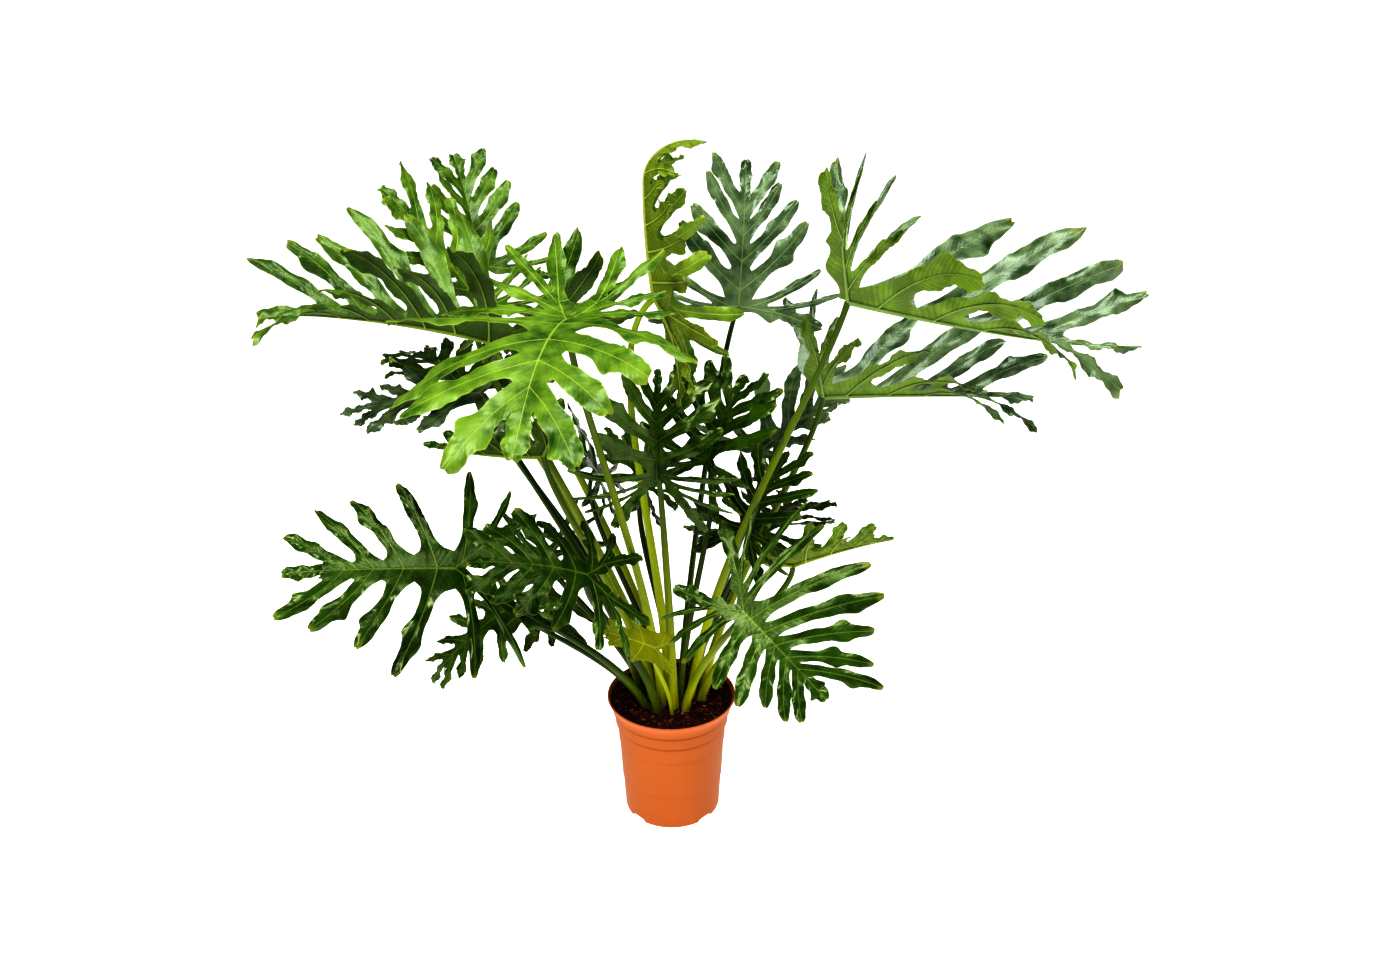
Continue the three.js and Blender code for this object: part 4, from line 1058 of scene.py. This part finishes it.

# %% [markdown]
# ## The green of a blade
#
# A full-grown blade is dark and waxy on top, with pale ribs, and paler and duller
# underneath. Fine veins leave each main vein at a slant, and the green swells a little
# between them and ripples along the lobe, which breaks up the highlights. The pattern is
# worked out from the UV: the distance across from the vein and the distance along the
# lobe. The tips of the lobes yellow first. Young blades are yellower all over, so the
# same finish is made in several tones. Some tones are painted light: blades in full
# light get a paler, yellower copy, blades deep in the plant a near-black copy that is
# painted shade, and the dusky blades a silvery light green in patches, a painted sheen.
# The wax tints what it reflects: green on most blades, paler on those in full light,
# silvery on the dusky ones.

# %% Leaf finishes
VEIN_SPACING = 0.0085
VEIN_WIDTH = 0.0021
YELLOWED = colour(128, 134, 30)
WAX = (0.8, 1.0, 0.45, 1)
PALE_WAX = (0.8, 1.0, 0.65, 1)
SILVERY = (0.85, 1.0, 0.85, 1)
LEAF_TONES = {           # deep and light green, vein, underside; roughness, gloss, sheen
    # Painted light: a paler, yellower copy of the finish for blades in full light.
    "bright": ((10, 56, 0), (106, 134, 42), (160, 176, 76), (86, 112, 22), 0.34, 0.46, PALE_WAX),
    "mid": ((4, 42, 0), (84, 112, 32), (134, 152, 62), (60, 84, 12), 0.32, 0.46, PALE_WAX),
    "deep": ((1, 28, 0), (44, 74, 6), (112, 132, 46), (54, 78, 12), 0.28, 0.55, WAX),
    # Painted shade: a near-black copy of the finish for blades deep inside the plant.
    "dark": ((1, 20, 0), (56, 84, 12), (70, 92, 28), (34, 56, 8), 0.22, 0.64, WAX),
    # Its light green is painted sheen: silvery patches laid over the deep green.
    "dusky_painted_sheen": ((1, 36, 0), (102, 120, 84), (124, 144, 84), (112, 138, 24), 0.28, 0.5, SILVERY),
    "young": ((60, 92, 6), (122, 144, 42), (168, 180, 84), (116, 134, 34), 0.36, 0.42, PALE_WAX),
    "olive": ((96, 104, 4), (136, 140, 20), (176, 178, 70), (120, 124, 20), 0.38, 0.36, WAX),
}


def leaf_finish(name, *tone):
    deep, light_and_sheen, vein, under = (colour(*shade) for shade in tone[:4])
    roughness, gloss, sheen = tone[4:]
    finish = Finish("leaf_" + name, Specular_IOR_Level=gloss, Specular_Tint=sheen)
    uv = finish.node("ShaderNodeUVMap", {"uv_map": "lobe"})
    across, along = abs(finish.part(uv, "X")), finish.part(uv, "Y")
    rib = finish.attribute("rib") * VEIN_WIDTH
    below = finish.attribute("under")
    stem = finish.attribute("stem")
    margin = finish.attribute("margin").ramp(0.86, 1.0)

    line = across.math("MINIMUM", along)
    line = 1 - (line / (rib + 0.0003)).ramp(0.5, 1.15)
    slant = (along - across * 0.95) / VEIN_SPACING
    swell = abs(slant.math("FRACT") - 0.5) * 2
    cloud = finish.noise(9, 3)
    patch = finish.noise(45, 4)
    buckle = finish.noise(38, 1)
    streak = finish.noise(1, 1, finish.combined(across * 110, along * 30))
    tip = (finish.attribute("end") + patch * 0.2 - 0.1).ramp(0.92, 1.0)

    # Deep and light green by noise; on the dusky blades the light green is painted silvery sheen.
    green = finish.mix((cloud * 0.5 + patch * 0.5).ramp(0.31, 0.68), deep, light_and_sheen)
    green = finish.mix(swell ** 9 * 0.12, green, vein)
    green = finish.mix(margin * 0.3, green, vein)
    green = finish.mix(tip * 0.4, green, YELLOWED)
    shade = (cloud * 0.5 + patch * 0.4 + swell * 0.1).ramp(0.4, 0.62)
    shaded = (*(0.55 * channel for channel in under[:3]), 1)
    green = finish.mix(below * 0.9, green, finish.mix(shade, shaded, under))
    pale = (line * (0.5 - below * 0.2)).math("MAXIMUM", stem * 0.7)
    finish.plug("Base Color", finish.mix(pale, green, vein))
    finish.plug("Roughness", roughness + patch * 0.12 + below * 0.2)
    relief = (1 - swell ** 2) * 0.1 + buckle * 2.2 + streak - line * 0.5
    finish.bump(relief, 0.6, 0.0015)
    return finish.material


LEAF_FINISHES = {name: leaf_finish(name, *tone) for name, tone in LEAF_TONES.items()}
print("leaf finishes:", ", ".join(LEAF_FINISHES))

# %% [markdown]
# ## Making the blades
#
# Each plan becomes a mesh, the recipe shapes it, and the result is kept as a plain
# mesh. A matrix of the blade's own directions then carries it to its place: forward
# along the blade, across it, and up from its face.

# %% Blades
ANGLES = ("fold", "arch", "twist", "bend", "nape", "hook")


def unit(vector):
    return vector / np.linalg.norm(vector)


def blade_frame(leaf):
    """Junction, and the forward, side and normal directions of a blade, in millimetres."""
    junction = np.array(leaf.at, float)
    chord = unit(np.array(leaf.tip, float) - junction)
    up = np.array(leaf.up, float)
    up = unit(up - (up @ chord) * chord)
    roll = math.radians(leaf.roll)
    face = up * math.cos(roll) + np.cross(up, chord) * math.sin(roll)
    half = math.radians(leaf.bend) / 2
    forward = chord * math.cos(half) + face * math.sin(half)
    normal = face * math.cos(half) - chord * math.sin(half)
    return junction, forward, np.cross(face, chord), normal


def plan_mesh(name, plan):
    mesh = bpy.data.meshes.new(name)
    mesh.from_pydata([(*point, 0) for point in plan.points], [], plan.faces)
    mesh.uv_layers.new(name="lobe").data.foreach_set("uv", np.array(plan.uvs).ravel())
    for label in plan.values[0]:
        layer = mesh.attributes.new(label, "FLOAT", "POINT")
        layer.data.foreach_set("value", np.array([point[label] for point in plan.values], np.float32))
    mesh.shade_smooth()
    return mesh


def make_blade(leaf):
    name = "leaf_blade_" + leaf.name
    plan = lay_out(leaf)
    blade = add_to_scene(name, plan_mesh(name, plan))
    angles = {angle: math.radians(getattr(leaf, angle)) for angle in ANGLES}
    shape(blade, BLADE, length=plan.length, open=leaf.open, knee=leaf.knee, **angles,
          rib_radius=0.75 * leaf.neck * MM, finish=LEAF_FINISHES[leaf.tone])
    junction, *axes = blade_frame(leaf)
    place = Matrix(np.array(axes).T.tolist()).to_4x4()
    place.translation = junction * MM
    blade.data.transform(place)
    dress(blade, "blade_" + leaf.name)
    return blade


blades = [make_blade(leaf) for leaf in LEAVES]
print("faces in all blades:", sum(len(blade.data.polygons) for blade in blades))

# %% [markdown]
# ## The stalks
#
# A petiole rises almost straight from the soil and bends once, under its blade. It is
# round, with a shallow groove on its upper side, a little swollen at both ends, and
# thinner towards the blade. A path and a profile say all of that: Curve to Mesh sweeps
# the grooved ring along the path, and the radius follows the length.

# %% The stalk recipe
STALK_SIDES = 24
STALK_CREASE = 60        # degrees
SWELLING = 0.12          # share of the radius


def stalk_recipe():
    tree = Recipe("stalk", base_radius=0.0075, neck_radius=0.0042, groove=0.22, finish=None)
    path = tree.node("GeometryNodeMeshToCurve", values={"Mesh": tree.start})
    path = tree.node("GeometryNodeSetCurveNormal", {"mode": "Z_UP"}, {"Curve": path})
    share = tree.node("GeometryNodeSplineParameter")
    path = tree.stored(path, "POINT", "share", share)
    base, neck = tree.given("base_radius"), tree.given("neck_radius")
    radius = base + (neck - base) * share
    ends = 1 - share.ramp(0.02, 0.14) + share.ramp(0.97, 1.0)
    radius = radius * (1 + ends * SWELLING)

    ring = tree.stored(tree.circle(STALK_SIDES), "POINT", "turn",
                       tree.node("GeometryNodeSplineParameter"))
    position = tree.node("GeometryNodeInputPosition")
    dent = 1 - tree.part(position, "X").ramp(0.55, 1.0) * tree.given("groove")
    ring = tree.moved(ring, position=tree.vector("SCALE", position, Scale=dent))
    tree.end(tree.creased(tree.swept(path, ring, radius), STALK_CREASE))
    return tree


STALK = stalk_recipe()
print("nodes in the stalk recipe:", len(STALK.nodes))

# %% [markdown]
# ## The green of a stalk
#
# A stalk is almost yellow where it leaves the soil, because little light gets there,
# and turns green on its way up. Fine streaks run along it. They come from noise that
# is stretched lengthwise: its coordinates are the turn round the stalk, which changes
# quickly, and the share of the length, which changes slowly.

# %% Stalk finishes
STALK_TONES = {          # at the foot, half way up and under the blade
    "pale": ((190, 192, 14), (156, 168, 16), (122, 142, 26)),
    "green": ((184, 186, 8), (120, 132, 6), (54, 74, 8)),
    # Painted shade: a darker copy for the stalks deep inside and low in the plant.
    "dark": ((96, 112, 8), (36, 54, 4), (22, 38, 6)),
}


def stalk_finish(name, *tone):
    foot, middle, top = (colour(*shade) for shade in tone)
    finish = Finish("stalk_" + name, Specular_IOR_Level=0.45, Specular_Tint=WAX)
    share = finish.attribute("share")
    turn = finish.attribute("turn") * (2 * math.pi)
    lengthwise = finish.combined(turn.math("COSINE") * 3, turn.math("SINE") * 3, share * 5)
    streak = finish.noise(2.2, 3, lengthwise)
    blotch = finish.noise(38, 3)
    green = finish.mix((share + blotch * 0.12 - 0.06).ramp(0.0, 0.42), foot, middle)
    green = finish.mix((share + streak * 0.2 - 0.1).ramp(0.4, 0.95), green, top)
    finish.plug("Base Color", finish.mix(streak.ramp(0.5, 0.75) * 0.35, green, top))
    finish.plug("Roughness", 0.34 + streak * 0.2)
    finish.bump(streak * 0.8 + blotch * 0.2, 0.4, 0.0008)
    return finish.material


STALK_FINISHES = {name: stalk_finish(name, *tone) for name, tone in STALK_TONES.items()}
print("stalk finishes:", ", ".join(STALK_FINISHES))

# %% [markdown]
# ## Making the stalks
#
# The path of a stalk is one cubic curve. It leaves the soil steeply, because stalks
# strive upwards before they lean out, and it arrives from under the blade. A straight
# piece below carries it down into the soil.

# %% Stalks
STALK_STEPS = 44
PETIOLE_BASE_Z = 213
PETIOLE_ROOT = 27        # length in the soil
UNDER_BLADE = 1.6        # the stalk ends inside the midrib
BOW = 0.8                # how steeply it rises at first: 0 is straight for the blade
LEAN = 0.6               # how much it keeps its own direction where it meets the blade
REACH = 0.18             # length of the bend, as a share of the stalk


def stalk_path(leaf):
    """Points of a stalk: straight in the soil, then one bend up to the blade."""
    junction, forward, side, normal = blade_frame(leaf)
    foot = np.array([*leaf.root, PETIOLE_BASE_Z], float)
    top = junction - normal * UNDER_BLADE
    span = top - foot
    outward, upward = lerp(0.33, 0.12, BOW), lerp(0.33, 0.42, BOW)
    rise = span * (outward, outward, upward)
    arrive = unit(unit(span) * LEAN + normal)
    ends = [foot, foot + rise, top - arrive * REACH * np.linalg.norm(span), top]
    t = np.linspace(0, 1, STALK_STEPS + 1)[:, None]
    weights = ((1 - t) ** 3, 3 * (1 - t) ** 2 * t, 3 * (1 - t) * t * t, t ** 3)
    curve = sum(weight * end for weight, end in zip(weights, ends))
    return np.vstack([foot - unit(rise) * PETIOLE_ROOT, curve]) * MM


def make_stalk(leaf):
    name = "leaf_stalk_" + leaf.name
    path = stalk_path(leaf)
    mesh = bpy.data.meshes.new(name)
    mesh.from_pydata(path.tolist(), [(i, i + 1) for i in range(len(path) - 1)], [])
    stalk = add_to_scene(name, mesh)
    shape(stalk, STALK, base_radius=leaf.base * MM, neck_radius=leaf.neck * MM,
          finish=STALK_FINISHES[leaf.stalk])
    dress(stalk, "petiole_" + leaf.name)
    return stalk


stalks = [make_stalk(leaf) for leaf in LEAVES]
print("faces in all stalks:", sum(len(stalk.data.polygons) for stalk in stalks))

# %% [markdown]
# ## The soil
#
# The pot is filled with a mix of dark peat, coir and chips of bark. The peat is a
# closed solid: a spun profile whose top is roughened by noise. The chips lie on it by
# the hundred and no two are alike, which is a job for Geometry Nodes: points are
# scattered on the top with a fixed seed, and a chip of a few faces is set on each,
# turned and stretched at random. Every chip also gets a random tint, because bark
# breaks in all shades from black to red-brown.

# %% Peat
SOIL_RADIUS = 98.8
SOIL_EDGE = 207          # height where the soil meets the pot
SOIL_RINGS = 44
ROUGH_ABOVE = 206.5      # the noise stays above this height
SOIL_PROFILE = [
    (0, 3.3, 0), (18.4, 3.3, 0), (21.4, 12.3, 0), (76, 12.3, 1), (86.5, 161, 2), (90.5, 188, 1),
    (SOIL_RADIUS, SOIL_EDGE, 0),
]


def soil_height(radius):
    """Height of the peat over the pot's radius."""
    rings, heights = (0, 31, 62, 79, SOIL_RADIUS), (210, 208.5, 210, 208.5, SOIL_EDGE)
    return float(np.interp(radius, rings, heights))


def peat_mesh():
    profile = rounded(SOIL_PROFILE)
    for ring in range(1, SOIL_RINGS + 1):
        radius = SOIL_RADIUS * (1 - ring / SOIL_RINGS)
        profile.append(Vector((radius, soil_height(radius))))
    mesh = spun("peat", profile, POT_SIDES)
    for vertex in mesh.vertices:
        if vertex.co.z > ROUGH_ABOVE * MM:
            rough = noise.fractal(vertex.co * 90, 1.0, 2.0, 4) + noise.noise(vertex.co * 28)
            vertex.co.z += rough * 1.8 * MM
    mesh.shade_smooth()
    return mesh


peat = add_to_scene("soil_peat", peat_mesh())
print("peat faces:", len(peat.data.polygons))

# %% The chip recipe
CHIPS_WITHIN = 0.093     # radius, so that no chip touches the pot
CHIPS_ABOVE = 0.2        # height, so that they lie on the top alone
# Least and most length, width and thickness of a chip, as shares of its size.
PROPORTIONS = (0.9, 0.4, 0.16), (1.7, 0.9, 0.45)


def chip_recipe():
    tree = Recipe("bark_chips", density=54000.0, smallest=0.0012, largest=0.0042, seed=7, finish=None)
    normal = tree.node("GeometryNodeInputNormal")
    position = tree.node("GeometryNodeInputPosition")
    radius = tree.vector("LENGTH", tree.vector("MULTIPLY", position, (1, 1, 0)))
    top = tree.part(normal, "Z").math("GREATER_THAN", 0.3)
    top = top * tree.part(position, "Z").math("GREATER_THAN", CHIPS_ABOVE)
    top = top * radius.math("LESS_THAN", CHIPS_WITHIN)
    values = {"Mesh": tree.start, "Selection": top, "Density": tree.given("density"),
              "Seed": tree.given("seed")}
    points = tree.node("GeometryNodeDistributePointsOnFaces", values=values)

    chip = tree.node("GeometryNodeMeshIcoSphere", values={"Radius": 1, "Subdivisions": 2})
    rough = tree.node("ShaderNodeTexNoise", values={"Scale": 1.3, "Detail": 2}, output="Color")
    rough = tree.vector("MULTIPLY", tree.vector("SUBTRACT", rough, (0.5, 0.5, 0.5)), (1.3, 1.3, 1.3))
    chip = tree.moved(chip, offset=rough)

    def random(low, high, detail, kind="FLOAT_VECTOR"):
        """A draw of its own for each chip; detail keeps the draws of one chip apart."""
        number = tree.node("GeometryNodeInputIndex") + detail * 1009
        values = {"Min": low, "Max": high, "ID": number, "Seed": tree.given("seed")}
        return tree.node("FunctionNodeRandomValue", {"data_type": kind}, values)

    smallest = tree.given("smallest")
    size = smallest + (tree.given("largest") - smallest) * random(0, 1, 1, "FLOAT") ** 2.2
    scale = tree.vector("SCALE", random(*PROPORTIONS, 2), Scale=size)
    turn = random((-0.5, -0.5, 0), (0.5, 0.5, 2 * math.pi), 3)
    values = {"Points": points, "Instance": chip, "Rotation": turn, "Scale": scale}
    chips = tree.node("GeometryNodeInstanceOnPoints", values=values)
    tree.end(tree.stored(chips, "INSTANCE", "tint", random(0, 1, 4, "FLOAT")))
    return tree


CHIPS = chip_recipe()
print("nodes in the chip recipe:", len(CHIPS.nodes))

# %% Peat and bark finishes
peat_finish = Finish("peat", Specular_IOR_Level=0.3)
crumb = peat_finish.noise(420, 5)
peat_brown = peat_finish.mix(crumb.ramp(0.35, 0.75), colour(22, 8, 5), colour(68, 29, 20))
peat_finish.plug("Base Color", peat_brown)
peat_finish.plug("Roughness", 0.85 + crumb * 0.1)
peat_finish.bump(crumb, 0.8, 0.002)
peat.data.materials.append(peat_finish.material)

bark_finish = Finish("bark", Specular_IOR_Level=0.35)
tint = bark_finish.attribute("tint")
fibre = bark_finish.noise(650, 4)
bark_brown = bark_finish.mix(tint.ramp(0.1, 0.8), colour(24, 9, 6), colour(88, 36, 24))
bark_brown = bark_finish.mix(tint.ramp(0.76, 0.95), bark_brown, colour(146, 70, 42))
bark_brown = bark_finish.mix(tint.ramp(0.975, 1.0), bark_brown, colour(168, 128, 94))
bark_brown = bark_finish.mix(fibre.ramp(0.45, 0.8) * 0.5, bark_brown, colour(24, 13, 9))
bark_finish.plug("Base Color", bark_brown)
bark_finish.plug("Roughness", 0.6 + fibre * 0.3)
bark_finish.bump(fibre, 0.6, 0.0008)
print("materials:", len(bpy.data.materials))

# %% Scatter the chips
chips = add_to_scene("soil_chips", peat.data.copy())
shape(chips, CHIPS, finish=bark_finish.material)
for piece in (peat, chips):
    dress(piece, "soil")
print("chip faces:", len(chips.data.polygons))

# %% [markdown]
